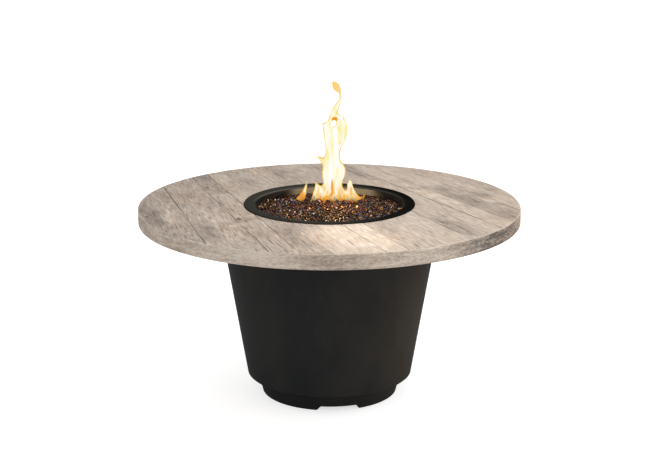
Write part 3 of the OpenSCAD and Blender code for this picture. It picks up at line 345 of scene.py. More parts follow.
def plank_concrete(settings):
    """Weathered plank print in cast concrete: grain, joints, cracks and stains follow the planks; the edge
    carries painted light and shade by bearing and a painted highlight along its top.
    """
    paint = Finish("plank_concrete")
    x, y, z = paint.axes()
    turn_cos = math.cos(settings.bearing)
    turn_sin = math.sin(settings.bearing)
    along = x * turn_sin - y * turn_cos
    across = (x * turn_cos + y * turn_sin) / (1 + along * settings.spread)
    shift = paint.attribute("plank_seed") * PLANK_SHIFT
    tone = paint.attribute("plank_tone")
    mark = paint.attribute("plank_mark")
    # The stain attribute: stains of the print on the top, painted light and shade by bearing on the edge
    stain = paint.attribute("plank_stain")
    edge = paint.attribute("slab_edge")
    for low, high, place, change in BUTT_JOINTS:
        inside = across.over(low) * across.under(high) * (1 - edge)
        beyond = inside * along.over(place)
        shift = shift + beyond * BUTT_SHIFT
        tone = tone + beyond * change
        gap = paint.node("ShaderNodeMath", {"operation": "ABSOLUTE"}, {0: along - place})
        mark = mark + inside * gap.under(settings.butt_width / 2) * BUTT_MARK
    pattern = {}
    for name, (cells, slide, *texture) in PLANK_PATTERNS.items():
        spot = paint.point(across * cells[0] + shift, along * cells[1] + shift * slide, z * cells[2])
        pattern[name] = paint.noise(spot, *texture)
    grain = pattern["grain"]
    streak = pattern["streak"]
    speck = pattern["speck"]
    rings = pattern["rings"] * RING_COUNT
    ring_line = paint.node("ShaderNodeMath", {"operation": "PINGPONG"}, {0: rings, 1: 0.5})
    fibre = paint.between(streak, 0.56, 0.72)
    ragged = paint.between(grain * 0.5 + pattern["blotch"] * 0.5 + (speck - 0.5) * 0.4, 0.40, 0.62, 0.15, 1.6)
    top_value = 0.57 + tone * 0.20 + stain * ragged * 0.20 - fibre * 0.20 + (ring_line - 0.25) * 0.18
    for name, share in TOP_SHARES.items():
        top_value = top_value + (pattern[name] - 0.5) * share
    # On the edge the stain value carries painted light and shade by bearing
    edge_value = 0.83 + stain * 0.20
    for cells, detail, rough, share in EDGE_PATTERNS:
        edge_value = edge_value + (paint.noise(paint.stretched(*cells), detail, rough) - 0.5) * share
    # Painted highlight along the slab's rounded top edge and in the rebate
    painted_edge_highlight = paint.between(edge, 0.30, 0.62) * paint.between(edge, 0.78, 0.98, 1.0, 0.0)
    value = top_value * (1 - edge) + edge_value * edge + painted_edge_highlight * 0.22
    wood = paint.ramp(
        value * 0.72, (0.04, colour_of(settings.dark_tone)), (0.36, colour_of(settings.mid_tone)),
        (0.68, colour_of(settings.light_tone)), (0.94, colour_of(settings.pale_tone)))
    warm = paint.between(paint.noise(paint.even(6.0), detail=2.0), 0.45, 0.75)
    wood = paint.mix(warm * 0.35, wood, colour_of(settings.warm_tone), "MULTIPLY")
    dark = paint.between(mark + (streak - 0.5) * 0.5 * mark, 0.04, 0.9)
    colour = paint.mix(dark * 0.85, wood, colour_of(settings.joint_tone))
    height = grain * 0.5 + streak * 0.35 + ring_line * 0.25 + speck * 0.25 - dark * 1.5
    roughness = 0.78 - streak * 0.14
    return paint.close(colour, roughness, height, bump=0.35, distance=0.0012, Specular_IOR_Level=0.35)


def black_concrete(settings):
    """Charcoal cast concrete with faint clouds, pores and trowel sheen."""
    paint = Finish("black_concrete")
    cloud = paint.noise(paint.stretched(7.0, 7.0, 4.0), detail=4.0, roughness=0.6)
    sand = paint.noise(paint.even(900.0), detail=2.0)
    pores = paint.node("ShaderNodeTexVoronoi", None, {"Vector": paint.coords, "Scale": 160.0})
    pit = paint.between(pores, 0.05, 0.12, 1.0, 0.0)
    colour = paint.mix(paint.between(cloud, 0.3, 0.7), colour_of(settings.dark), colour_of(settings.light))
    colour = paint.mix((sand - 0.4) * 0.5, colour, colour_of(settings.light))
    roughness = 0.50 + cloud * 0.16 + sand * 0.08
    height = sand * 0.4 + cloud * 0.3 - pit * 0.5
    return paint.close(colour, roughness, height, bump=0.12, distance=0.0006, Specular_IOR_Level=0.15)


def baked_coat(paint, colour, cloud, roughness, shine):
    """Ends a coat baked on steel: fine orange peel, and clouds in its roughness."""
    peel = paint.noise(paint.even(700.0), detail=2.0)
    return paint.close(colour, roughness + (cloud - 0.5) * 0.14, peel, bump=0.08, distance=0.0003,
                       Specular_IOR_Level=shine)


def satin_black():
    """Powder-coated steel in a satin black."""
    paint = Finish("satin_black")
    cloud = paint.noise(paint.even(12.0), detail=3.0)
    tone = srgb(34, 34, 36)
    lighter = tuple(min(1.0, 1.8 * part) for part in tone)
    return baked_coat(paint, paint.mix(cloud * 0.6, tone, lighter), cloud, 0.48, 0.40)


def rim_enamel(settings):
    """Black enamel of the burner's rim: painted light on the left, painted shade on the right, and a painted
    highlight along its inner edge at the back.
    """
    paint = Finish("rim_enamel")
    x, y, _ = paint.axes()
    cloud = paint.noise(paint.even(12.0), detail=3.0)
    # Painted light makes the rim lighter towards the left; painted shade keeps it dark on the right
    lamplit_share = paint.between(x, -0.10, 0.24, 1.0, 0.0)
    colour = paint.mix(lamplit_share * 0.8 + cloud * 0.2, colour_of(settings.enamel), colour_of(settings.lamplit))
    reach = (x ** 2 + y ** 2) ** 0.5
    # Painted highlight along the inner lip at the back
    inner = paint.between(reach, RIM_HIGH.x - 0.030, RIM_HIGH.x - 0.024, 1.0, 0.0)
    painted_lip_highlight = inner * paint.between(y, -0.02, 0.14)
    colour = paint.mix(painted_lip_highlight * (0.25 + lamplit_share * 0.35), colour, colour_of(settings.worn))
    return baked_coat(paint, colour, cloud, 0.50, 0.0)


def pan_steel():
    """Stainless pan brushed round its wall, with soot clouds, painted flame light pale behind the flame and
    painted shade dark at its left, right and front.
    """
    paint = Finish("pan_steel")
    x, y, _ = paint.axes()
    brushed = paint.noise(paint.stretched(30.0, 30.0, 900.0), detail=3.0)
    soot = paint.noise(paint.stretched(14.0, 14.0, 30.0), detail=4.0)
    # Painted flame light on the back wall from a little left of the flame to a little right of it; painted
    # shade dark at the far left, the far right and the front
    left = paint.between(x, -0.16, -0.10, 0.0, 0.80) + paint.between(x, -0.02, 0.06, 0.0, 0.20)
    painted_flame_light = paint.between(y, 0.02, 0.20) * left * paint.between(x, 0.12, 0.19, 1.0, 0.0)
    # The tone runs from painted shade to painted flame light, with soot clouds beneath
    flame_lit_tone = paint.ramp(soot * 0.35 + painted_flame_light * 0.65, (0.18, srgb(4, 3, 2)), (0.45, srgb(100, 86, 66)),
                      (0.80, srgb(196, 180, 150)))
    colour = paint.mix((brushed - 0.4) * 0.2, flame_lit_tone, srgb(58, 52, 46))
    roughness = 0.38 + brushed * 0.20 + (1 - soot) * 0.10
    return paint.close(colour, roughness, brushed, bump=0.05, distance=0.0002, Metallic=0.6)


def fire_glass(settings):
    """Tumbled reflective fire glass: most chips dark, others bronze, copper, violet or bright."""
    paint = Finish("fire_glass")
    hue = paint.attribute("chip_hue")
    vein = paint.noise(paint.even(120.0), detail=2.0)
    colour = paint.ramp(
        hue, (0.0, srgb(26, 15, 8)), (0.34, srgb(52, 31, 15)), (0.54, colour_of(settings.bronze)),
        (0.70, srgb(84, 52, 24)), (0.82, colour_of(settings.copper)), (0.89, srgb(52, 40, 88)),
        (0.95, srgb(96, 76, 90)), (1.0, srgb(236, 216, 190)))
    colour = paint.mix((vein - 0.2) * 0.8, colour, srgb(14, 9, 6))
    metal = paint.between(hue, 0.0, 0.6, 0.7, 0.95)
    return paint.close(colour, 0.17 + vein * 0.16, vein, bump=0.05, distance=0.0005, Metallic=metal,
                       Coat_Weight=0.10, Coat_Roughness=0.05)


def brushed_steel():
    """Stainless sheet with a level brushed grain."""
    paint = Finish("brushed_steel")
    grain = paint.noise(paint.stretched(40.0, 300.0, 1800.0), detail=3.0)
    smear = paint.noise(paint.even(25.0), detail=3.0)
    colour = paint.mix(grain * 0.6, srgb(176, 174, 170), srgb(204, 203, 200))
    roughness = 0.24 + grain * 0.14 + smear * 0.10
    return paint.close(colour, roughness, grain, bump=0.06, distance=0.0002, Metallic=1.0)


def bare_metal(name, dark, light, roughness, cells):
    """Plated or machined metal: cloudy tone, fine tool marks and dull patches."""
    paint = Finish(name)
    cloud = paint.noise(paint.even(cells), detail=4.0, roughness=0.6)
    marks = paint.noise(paint.stretched(1500.0, 1500.0, 400.0), detail=2.0)
    colour = paint.mix(paint.between(cloud, 0.3, 0.7), dark, light)
    rough = roughness + (cloud - 0.5) * 0.2 + marks * 0.08
    return paint.close(colour, rough, marks, bump=0.06, distance=0.0002, Metallic=0.95)


def moulded(name, dark, light, roughness, cells, bump):
    """Moulded plastic, rubber or ceramic: fine grain and a slight cloudiness."""
    paint = Finish(name)
    grain = paint.noise(paint.even(cells), detail=3.0)
    cloud = paint.noise(paint.even(60.0), detail=2.0)
    colour = paint.mix(paint.between(cloud, 0.3, 0.75), dark, light)
    return paint.close(colour, roughness + (grain - 0.5) * 0.2, grain, bump=bump, distance=0.0003)


def braided_steel():
    """Woven steel sheath: two sets of crossing wires as a fine checker of highlights."""
    paint = Finish("braided_steel")
    first, second = (
        paint.node("ShaderNodeTexWave", {"wave_type": "BANDS", "bands_direction": "DIAGONAL"}, {
            "Vector": paint.stretched(side, 1.0, 1.0), "Scale": 140.0, "Distortion": 0.4}, "Fac")
        for side in (1.0, -1.0))
    weave = first * second
    colour = paint.mix(weave, srgb(70, 70, 72), srgb(190, 190, 192))
    return paint.close(colour, 0.45 - weave * 0.15, weave, bump=0.5, distance=0.0006, Metallic=0.9)


# Metals by slot: darker and lighter tone, roughness and clouds per metre
METALS = {
    "zinc_steel": (srgb(150, 152, 156), srgb(186, 187, 188), 0.34, 90.0),
    "brass": (srgb(150, 112, 52), srgb(196, 156, 84), 0.30, 70.0),
    "copper": (srgb(150, 84, 56), srgb(190, 112, 78), 0.36, 80.0),
    "magnet": (srgb(62, 62, 66), srgb(84, 84, 88), 0.50, 120.0),
}
# Moulded finishes by slot: darker and lighter tone, roughness, grains per metre and bump
MOULDED = {
    "gasket_rubber": (srgb(26, 26, 27), srgb(36, 36, 37), 0.78, 900.0, 0.30),
    "lead_rubber": (srgb(54, 30, 28), srgb(74, 40, 36), 0.60, 700.0, 0.15),
    "knob_plastic": (srgb(22, 22, 23), srgb(32, 32, 33), 0.42, 1400.0, 0.12),
    "button_plastic": (srgb(122, 20, 16), srgb(150, 28, 22), 0.32, 1200.0, 0.06),
    "cell_jacket": (srgb(48, 96, 60), srgb(62, 120, 76), 0.30, 500.0, 0.05),
    "ceramic": (srgb(226, 222, 212), srgb(240, 237, 230), 0.25, 400.0, 0.08),
}
# Finishes with no settings, and finishes that take a group of them
PLAIN = {
    "black_steel": satin_black,
    "pan_steel": pan_steel,
    "stainless": brushed_steel,
    "braid": braided_steel,
}
TUNED = {
    "plank_concrete": (plank_concrete, "fire_table_top"),
    "black_concrete": (black_concrete, "fire_table_pedestal"),
    "rim_black": (rim_enamel, "fire_table_rim"),
    "fire_glass": (fire_glass, "fire_table_fire"),
}


def finish_of(slot, scene):
    """The material of a record slot, made once."""
    name = slot + "_finish"
    if name in bpy.data.materials:
        return bpy.data.materials[name]
    if slot in METALS:
        made = bare_metal(slot, *METALS[slot])
    elif slot in MOULDED:
        made = moulded(slot, *MOULDED[slot])
    elif slot in PLAIN:
        made = PLAIN[slot]()
    else:
        maker, holder = TUNED[slot]
        made = maker(getattr(scene, holder))
    made.name = name
    return made


# Mesh helpers

# Corners closer than this are one, in meshes made here and in copies of CAD meshes
MERGE = 1e-6
CAD_MERGE = 2e-6


def link_piece(name, mesh, material, body, slot, *nodes):
    """Adds a finished mesh as a piece that rides on a body and stands for its CAD nodes."""
    piece = bpy.data.objects.new(name, mesh)
    bpy.context.scene.collection.objects.link(piece)
    mesh.materials.clear()
    mesh.materials.append(material)
    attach(piece, body)
    if nodes:
        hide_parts(*nodes)


def finish_mesh(source, mesh, sharp, merge=MERGE, outward=True):
    """Fills a mesh from a source, with its corners merged and its edges sharp past an angle in degrees."""
    form = bmesh.new()
    form.from_mesh(source)
    bmesh.ops.remove_doubles(form, verts=form.verts, dist=merge)
    if outward:
        bmesh.ops.recalc_face_normals(form, faces=form.faces)
    for face in form.faces:
        face.smooth = True
    for edge in form.edges:
        if len(edge.link_faces) == 2 and edge.calc_face_angle(0.0) > math.radians(sharp):
            edge.smooth = False
    form.to_mesh(mesh)
    form.free()
    return mesh


def mesh_from(name, points, faces, sharp):
    """A closed mesh from its points and faces."""
    mesh = bpy.data.meshes.new(name)
    mesh.from_pydata(points, [], faces)
    return finish_mesh(mesh, mesh, sharp)


def around(segments):
    """Angles of evenly spaced places round the middle axis."""
    return [2 * math.pi * step / segments for step in range(segments)]


def lathe(name, outline, segments, sharp):
    """Turns a closed outline of (radius, height) round the middle axis."""
    points = []
    for turn in around(segments):
        points += [(radius * math.cos(turn), radius * math.sin(turn), height) for radius, height in outline]
    count = len(outline)
    faces = []
    for step in range(segments):
        here = step * count
        there = ((step + 1) % segments) * count
        for k in range(count):
            after = (k + 1) % count
            faces.append((here + k, here + after, there + after, there + k))
    return mesh_from(name, points, faces, sharp)


def arc(centre_r, centre_z, radius, start, end, steps):
    """Points of a round stretch of an outline, by angle in degrees."""
    turns = [math.radians(start + (end - start) * k / steps) for k in range(steps + 1)]
    return [(centre_r + radius * math.cos(turn), centre_z + radius * math.sin(turn)) for turn in turns]


def refined_copy(node):
    """A merged, smoothly shaded copy of a CAD node's mesh."""
    mesh = bpy.data.meshes.new(node + "_finish")
    return finish_mesh(frame["nodes"][node].data, mesh, 28, CAD_MERGE, outward=False)


def dress(scene, *nodes):
    """Replaces CAD nodes by smooth copies in the finish of their record slot."""
    for node in nodes:
        slot = NODE_SLOT[node]
        material = finish_of(slot, scene)
        link_piece(node + "_finish", refined_copy(node), material, NODE_BODY[node], slot, node)


def float_attribute(mesh, name, values):
    """Stores one number for each corner point of a mesh."""
    mesh.attributes.new(name, "FLOAT", "POINT").data.foreach_set("value", values)


# Plinth and rim

def flared_plinth(settings):
    """A copy of the plinth whose outer wall leans out a little towards the pedestal."""
    mesh = refined_copy("plinth")
    low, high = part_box("plinth")
    for point in mesh.vertices:
        radius = math.hypot(point.co.x, point.co.y)
        if radius > high.x - settings.plinth_skin:
            flare = settings.plinth_flare * (point.co.z - low.z) / (high.z - low.z)
            point.co.xy *= 1 + flare / radius
    return mesh


def rim_mesh(settings):
    """The rim ring: a rolled bead outside, a slope down to the bore and a round lip there."""
    low = RIM_LOW.z
    outer = RIM_HIGH.x
    bead = settings.bead
    bead_z = RIM_HIGH.z - bead
    bore = outer - settings.width
    lip = settings.lip_round
    outline = [(bore, low), (outer - settings.chamfer, low), (outer, low + settings.chamfer)]
    outline += arc(outer - bead, bead_z, bead, 0, 90, 8)
    outline += arc(outer - 3 * bead, bead_z, bead, 90, 125, 4)
    outline.append((bore + settings.slope_in, low + settings.slope_rise))
    outline.append((bore + settings.lip_in, low + 2 * lip))
    outline += arc(bore + lip, low + lip, lip, 90, 180, 5)
    return lathe("pan_rim", outline, 192, 35)


# Plank top

# How strongly joints and cracks darken, and how stains and worn stretches change the tone
JOINT_GAIN = 1.8
CRACK_GAIN = 1.9
STAIN_GAIN = -1.7
WORN_GAIN = 1.1
# Steps of the mesh down the slab's side and across its underside
SIDE_STEPS = 6
UNDER_STEPS = 5
# Bearings in degrees, from the row through the middle, at which rows follow the round edges
ROUND_BEARINGS = range(56, 90, 2)


def bump_shape(distance, width):
    """1 at the middle, falling smoothly to 0 at the given width."""
    share = min(1.0, abs(distance) / width)
    return (1 - share * share) ** 2


def plank_index(offset):
    """Number of the plank at an offset, from the left."""
    return sum(1 for joint in PLANK_JOINTS if offset > joint)


def widest(radius, spread):
    """Largest plank offset that a circle round the middle reaches, where the planks spread to the front."""
    return radius / math.sqrt(1 - (radius * spread) ** 2)


def chord(offset, radius, spread):
    """Middle and half length, along the plank, of the stretch of a line of one offset inside a circle."""
    bend = 1 + (offset * spread) ** 2
    middle = -offset * offset * spread / bend
    half = math.sqrt(max(0.0, radius * radius * bend - offset * offset)) / bend
    return middle, half


def row_offsets(settings, outer, inner):
    """Offsets of the mesh rows: even ones, and close ones at the round edges, joints and cracks."""
    special = [0.0, inner, -inner]
    cracks = [crack for crack, *_ in CRACKS]
    for width, lines in ((settings.joint_width, PLANK_JOINTS), (settings.crack_width, cracks)):
        special += [line + k * width / 2 for line in lines for k in range(-2, 3)]
    for reach in (outer, inner):
        for bearing in ROUND_BEARINGS:
            place = reach * math.sin(math.radians(bearing))
            special += [place, -place]
    count = round(2 * outer / settings.row_step)
    even = [-outer + 2 * outer * k / count for k in range(1, count)]
    rows = []
    for offset in sorted(special):
        if not rows or offset - rows[-1] > settings.crack_width / 8:
            rows.append(offset)
    room = 0.35 * settings.row_step
    kept = [offset for offset in even if min(abs(offset - other) for other in rows) > room]
    return sorted(rows + kept)


def plank_marks(offset, place, settings):
    """Depth of the surface, darkness of its marks and tone of its stains at a point of the plank top."""
    depth = 0.0
    mark = 0.0
    wear = max(0.1, 0.62 + 0.9 * noise.noise(Vector((offset * 7, place * 11, 2.0))))
    for joint, strength in PLANK_JOINTS.items():
        cut = bump_shape(offset - joint, 1.05 * settings.joint_width) * strength
        depth += cut * settings.joint_depth
        mark = max(mark, min(1.0, JOINT_GAIN * cut * wear))
    for crack, start, end, strength in CRACKS:
        drift = bump_shape(offset - crack, settings.crack_width) * strength
        reach = bump_shape(place - (start + end) / 2, (end - start) / 2)
        depth += drift * reach * settings.crack_depth
        mark = max(mark, min(1.0, CRACK_GAIN * drift * math.sqrt(reach) * wear))
    for knot, at, radius, strength in KNOTS:
        apart = math.hypot(offset - knot, (place - at) * 0.6)
        hollow = bump_shape(apart, 1.2 * radius) * strength
        depth += hollow * settings.crack_depth
        mark = max(mark, hollow)
    patchy = noise.fractal(Vector((offset * 45, place * 17, 7.0)), 0.9, 2.0, 4)
    sway = 0.012 * noise.noise(Vector((offset * 30, place * 12, 4.0)))
    stain = 0.0
    for patches, gain in ((STAINS, STAIN_GAIN), (WORN, WORN_GAIN)):
        for patch, at, width, length, strength in patches:
            spread = bump_shape(offset + sway - patch, 1.6 * width) * bump_shape(place - at, 1.6 * length)
            stain += gain * strength * max(0.0, spread + 0.7 * patchy * math.sqrt(spread))
    return depth, mark, stain


def edge_light_and_shade(bearing):
    """Painted light and shade of the slab's edge at a bearing in degrees."""
    return sum(change * bump_shape(bearing - middle, width) for middle, width, change in EDGE_LIGHT_AND_SHADE)


class SlabForm:
    """Points, faces and point values of the cast top while it is being made."""

    def __init__(self, settings):
        draw = random.Random(settings.seed)
        self.settings = settings
        self.plank_seed = [draw.uniform(0, 9) for _ in PLANK_TONES]
        self.plank_drop = [draw.uniform(0, settings.plank_step) for _ in PLANK_TONES]
        self.points = []
        self.faces = []
        self.tones = []
        self.marks = []
        self.stains = []
        self.seeds = []
        self.edges = []

    def add(self, point, tone, mark, stain, seed, edge):
        """Adds a point with its values, and gives its number."""
        self.points.append(point)
        self.tones.append(tone)
        self.marks.append(mark)
        self.stains.append(stain)
        self.seeds.append(seed)
        self.edges.append(edge)
        return len(self.points) - 1

    def surface_point(self, offset, place):
        """Adds a point of the upper surface by its offset square to the planks and its place along them."""
        settings = self.settings
        plank = plank_index(offset)
        depth, mark, stain = plank_marks(offset, place, settings)
        swell = noise.noise(Vector((offset * 60, place * 7, plank * 3.0)))
        wide = offset * (1 + settings.spread * place)
        turn_cos = math.cos(settings.bearing)
        turn_sin = math.sin(settings.bearing)
        height = TOP_HIGH.z - self.plank_drop[plank] - depth + settings.relief * swell
        point = (wide * turn_cos + place * turn_sin, wide * turn_sin - place * turn_cos, height)
        return self.add(point, PLANK_TONES[plank][place > 0], mark, stain, self.plank_seed[plank], 0.0)

    def plank_rows(self, outer, inner):
        """Lays the upper surface in rows between two circles, and gives its outer and inner border."""
        spread = self.settings.spread
        columns = self.settings.columns
        outer_offset = widest(outer, spread)
        inner_offset = widest(inner, spread)
        rows = row_offsets(self.settings, outer_offset, inner_offset)
        borders = {1: [], -1: []}
        lips = {1: [], -1: []}
        for side in (1, -1):
            previous = None
            for offset in rows:
                middle, reach = chord(offset, outer, spread)
                _, start = chord(offset, inner, spread)
                row = [self.surface_point(offset, middle + side * (start + (reach - start) * k / columns))
                       for k in range(columns + 1)]
                borders[side].append(row[-1])
                if start > 0 or abs(abs(offset) - inner_offset) < MERGE:
                    lips[side].append(row[0])
                if previous:
                    self.faces += [(previous[k], row[k], row[k + 1], previous[k + 1]) for k in range(columns)]
                previous = row
        tip_place, _ = chord(outer_offset, outer, spread)
        tips = [self.surface_point(-outer_offset, tip_place), self.surface_point(outer_offset, tip_place)]
        for side in (1, -1):
            for tip, border in ((tips[0], borders[side][0]), (tips[1], borders[side][-1])):
                self.faces += [(tip, k, k + 1) for k in range(border - columns, border)]
        rim_loop = [tips[0]] + borders[1] + [tips[1]] + borders[-1][::-1]
        return rim_loop, lips[1] + lips[-1][::-1]

    def ring_below(self, loop, radius, height, edge, rough):
        """Adds a ring of points under a loop at a radius and height, a little uneven and chipped."""
        made = []
        for index in loop:
            turn = math.atan2(self.points[index][1], self.points[index][0])
            x = math.cos(turn)
            y = math.sin(turn)
            wobble = abs(noise.noise(Vector((x * 25, y * 25, height * 90))))
            chip = 2.0 * max(0.0, noise.noise(Vector((x * 70, y * 70, 5.0))) - 0.35)
            reach = radius - rough * (wobble + chip)
            mark = 0.4 * self.marks[index] * (edge < 1.0)
            # On the side and underside the stain value carries the painted light and shade of the edge by
            # bearing
            stain = self.stains[index] if edge < 1.0 else edge_light_and_shade(math.degrees(turn))
            made.append(self.add((reach * x, reach * y, height), self.tones[index], mark, stain,
                                 self.seeds[index], edge))
        return made

    def wall(self, loop, profile):
        """Carries a loop down through the rings of a profile, and gives the last ring."""
        count = len(loop)
        for radius, height, edge, rough in profile:
            below = self.ring_below(loop, radius, height, edge, rough)
            for k in range(count):
                after = (k + 1) % count
                self.faces.append((loop[k], below[k], below[after], loop[after]))
            loop = below
        return loop

    def turn_of(self, ring, place):
        """Bearing of a ring's point, counted on past a full turn."""
        x, y, _ = self.points[ring[place % len(ring)]]
        return math.atan2(y, x) + 2 * math.pi * (place // len(ring))

    def close_rings(self, first, second):
        """Joins two level rings of the same radius whose points lie at different turns."""
        first = sorted(first, key=lambda index: self.turn_of([index], 0))
        second = sorted(second, key=lambda index: self.turn_of([index], 0))
        i = 0
        j = 0
        while i < len(first) or j < len(second):
            here = (first[i % len(first)], second[j % len(second)])
            ahead = self.turn_of(first, i + 1) <= self.turn_of(second, j + 1)
            if j >= len(second) or (i < len(first) and ahead):
                i += 1
                self.faces.append((*here, first[i % len(first)]))
            else:
                j += 1
                self.faces.append((*here, second[j % len(second)]))

    def to_mesh(self, name):
        """The finished mesh with its point values."""
        mesh = bpy.data.meshes.new(name)
        mesh.from_pydata(self.points, [], self.faces)
        for attribute, values in (("plank_tone", self.tones), ("plank_mark", self.marks),
                                  ("plank_stain", self.stains), ("plank_seed", self.seeds),
                                  ("slab_edge", self.edges)):
            float_attribute(mesh, attribute, values)
        return finish_mesh(mesh, mesh, 50)


def side_profile(settings):
    """Rings of the slab's side and underside: radius, height, share of the edge's finish and unevenness."""
    big = TOP_HIGH.x
    soft = settings.edge_round
    rough = settings.edge_wear
    cut = 0.3 * soft
    high = TOP_HIGH.z - soft
    low = TOP_LOW.z + soft
    width = big - settings.hole_radius
    rings = [(big - cut, TOP_HIGH.z - cut, 0.7, 0.6 * rough), (big, high, 1.0, rough)]
    rings += [(big, high + (low - high) * k / SIDE_STEPS, 1.0, rough) for k in range(1, SIDE_STEPS + 1)]
    rings += [(big - cut, TOP_LOW.z + cut, 1.0, 1.6 * rough), (big - soft, TOP_LOW.z, 1.0, 0.0)]
    rings += [(big - width * k / UNDER_STEPS, TOP_LOW.z, 1.0, 0.0) for k in range(1, UNDER_STEPS + 1)]
    return rings


def plank_top_mesh(settings):
    """The cast top: plank rows with joints and cracks, a worn edge, the rebate and the hole for the pan."""
    inner = RIM_HIGH.x + settings.rebate_room
    hole = settings.hole_radius
    seat = TOP_HIGH.z - settings.rebate_depth
    slab = SlabForm(settings)
    rim_loop, lip_loop = slab.plank_rows(TOP_HIGH.x - settings.edge_round, inner)
    rebate = [(inner, seat, 0.6, 0.0), (hole, seat, 0.8, 0.0), (hole, TOP_LOW.z, 1.0, 0.0)]
    slab.close_rings(slab.wall(rim_loop, side_profile(settings)), slab.wall(lip_loop, rebate))
    return slab.to_mesh("plank_top")


# Fire bed and flame

# Corners, flattening and number of shapes of the glass chips, their sizes about the mean, and their largest
# turn about each axis in radians
CHIP_CORNERS = 8
CHIP_WIDTH = (0.6, 0.9)
CHIP_HEIGHT = (0.45, 0.75)
CHIP_SHAPES = 5
CHIP_GROWTH = (0.55, 1.15)
CHIP_TURN = 6.283
# Mesh of the bed under the chips: rings, segments, foot as a share of its reach, and heaps per metre
BED_RINGS = 26
BED_SEGMENTS = 96
BED_FOOT = 0.965
BED_HEAPS = 16


def chip_mesh(seed):
    """One chip of tumbled glass: the hull of a few points on a flattened ball."""
    draw = random.Random(seed)
    form = bmesh.new()
    for _ in range(CHIP_CORNERS):
        spot = Vector((draw.gauss(0, 1), draw.gauss(0, 1), draw.gauss(0, 1))).normalized()
        form.verts.new((spot.x, spot.y * draw.uniform(*CHIP_WIDTH), spot.z * draw.uniform(*CHIP_HEIGHT)))
    hull = bmesh.ops.convex_hull(form, input=form.verts)
    buried = [item for item in hull["geom_interior"] if isinstance(item, bmesh.types.BMVert)]
    bmesh.ops.delete(form, geom=buried, context="VERTS")
    bmesh.ops.recalc_face_normals(form, faces=form.faces)
    mesh = bpy.data.meshes.new("chip_%d" % seed)
    form.to_mesh(mesh)
    form.free()
    return mesh


def bed_mesh(settings):
    """The heaped surface that the chips lie on, closed below."""
    reach = GLASS_HIGH.x + settings.wall_gap
    points = []
    for ring in range(BED_RINGS + 1):
        share = ring / BED_RINGS
        level = GLASS_HIGH.z - settings.crown * share * share - settings.chip_size / 2
        for turn in around(BED_SEGMENTS):
            x = reach * share * math.cos(turn)
            y = reach * share * math.sin(turn)
            heap = settings.heap * noise.noise(Vector((x * BED_HEAPS, y * BED_HEAPS, 1.0)))
            points.append((x, y, level + heap * (1 - share ** 6)))
    foot = reach * BED_FOOT
    points += [(foot * math.cos(turn), foot * math.sin(turn), GLASS_LOW.z) for turn in around(BED_SEGMENTS)]
    faces = []
    for ring in range(BED_RINGS + 1):
        here = ring * BED_SEGMENTS
        there = here + BED_SEGMENTS
        for step in range(BED_SEGMENTS):
            after = (step + 1) % BED_SEGMENTS
            faces.append((here + step, here + after, there + after, there + step))
    base = (BED_RINGS + 1) * BED_SEGMENTS
    faces.append(tuple(range(base, base + BED_SEGMENTS)))
    return mesh_from("glass_bed", points, faces, 60)


def chip_tree(material, chips):
    """Geometry Nodes that scatter turned and scaled chips over a surface."""
    group = bpy.data.node_groups.new("scatter_chips", "GeometryNodeTree")
    tree = Tree(group)
    inputs = {"Surface": "Geometry", "Density": "Float", "Chip size": "Float", "Seed": "Int"}
    for name, kind in inputs.items():
        group.interface.new_socket(name, in_out="INPUT", socket_type="NodeSocket" + kind)
    group.interface.new_socket("Chips", in_out="OUTPUT", socket_type="NodeSocketGeometry")
    given = group.nodes.new("NodeGroupInput")
    surface, density, size, seed = [Value(tree, given.outputs[k]) for k in range(4)]
    points = tree.node("GeometryNodeDistributePointsOnFaces", {"distribute_method": "RANDOM"}, {
        "Mesh": surface, "Density": density, "Seed": seed})
    shapes = group.nodes.new("GeometryNodeJoinGeometry")
    for chip in chips:
        info = tree.node("GeometryNodeObjectInfo", None, {"Object": chip, "As Instance": True}, "Geometry")
        group.links.new(info.socket, shapes.inputs[0])

    def drawn(kind, low, high):
        """A random value for each point; its sockets differ from one data type to the next."""
        first, output = {"FLOAT_VECTOR": (0, 0), "FLOAT": (2, 1), "INT": (4, 2)}[kind]
        return tree.node("FunctionNodeRandomValue", {"data_type": kind}, {
            first: low, first + 1: high, "Seed": seed}, output)

    pick = drawn("INT", 0, len(chips) - 1)
    turn = drawn("FLOAT_VECTOR", (0.0, 0.0, 0.0), (CHIP_TURN, CHIP_TURN, CHIP_TURN))
    grow = drawn("FLOAT", *CHIP_GROWTH)
    hue = drawn("FLOAT", 0.0, 1.0)
    spread = tree.node("GeometryNodeInstanceOnPoints", None, {
        "Points": points, "Instance": Value(tree, shapes.outputs[0]), "Pick Instance": True,
        "Instance Index": pick, "Rotation": turn, "Scale": grow * size * 0.5})
    tinted = tree.node("GeometryNodeStoreNamedAttribute", {"data_type": "FLOAT", "domain": "INSTANCE"}, {
        "Geometry": spread, "Name": "chip_hue", "Value": hue})
    whole = tree.node("GeometryNodeRealizeInstances", None, {"Geometry": tinted})
    coated = tree.node("GeometryNodeSetMaterial", None, {"Geometry": whole, "Material": material})
    out = group.nodes.new("NodeGroupOutput")
    group.links.new(coated.socket, out.inputs[0])
    return group


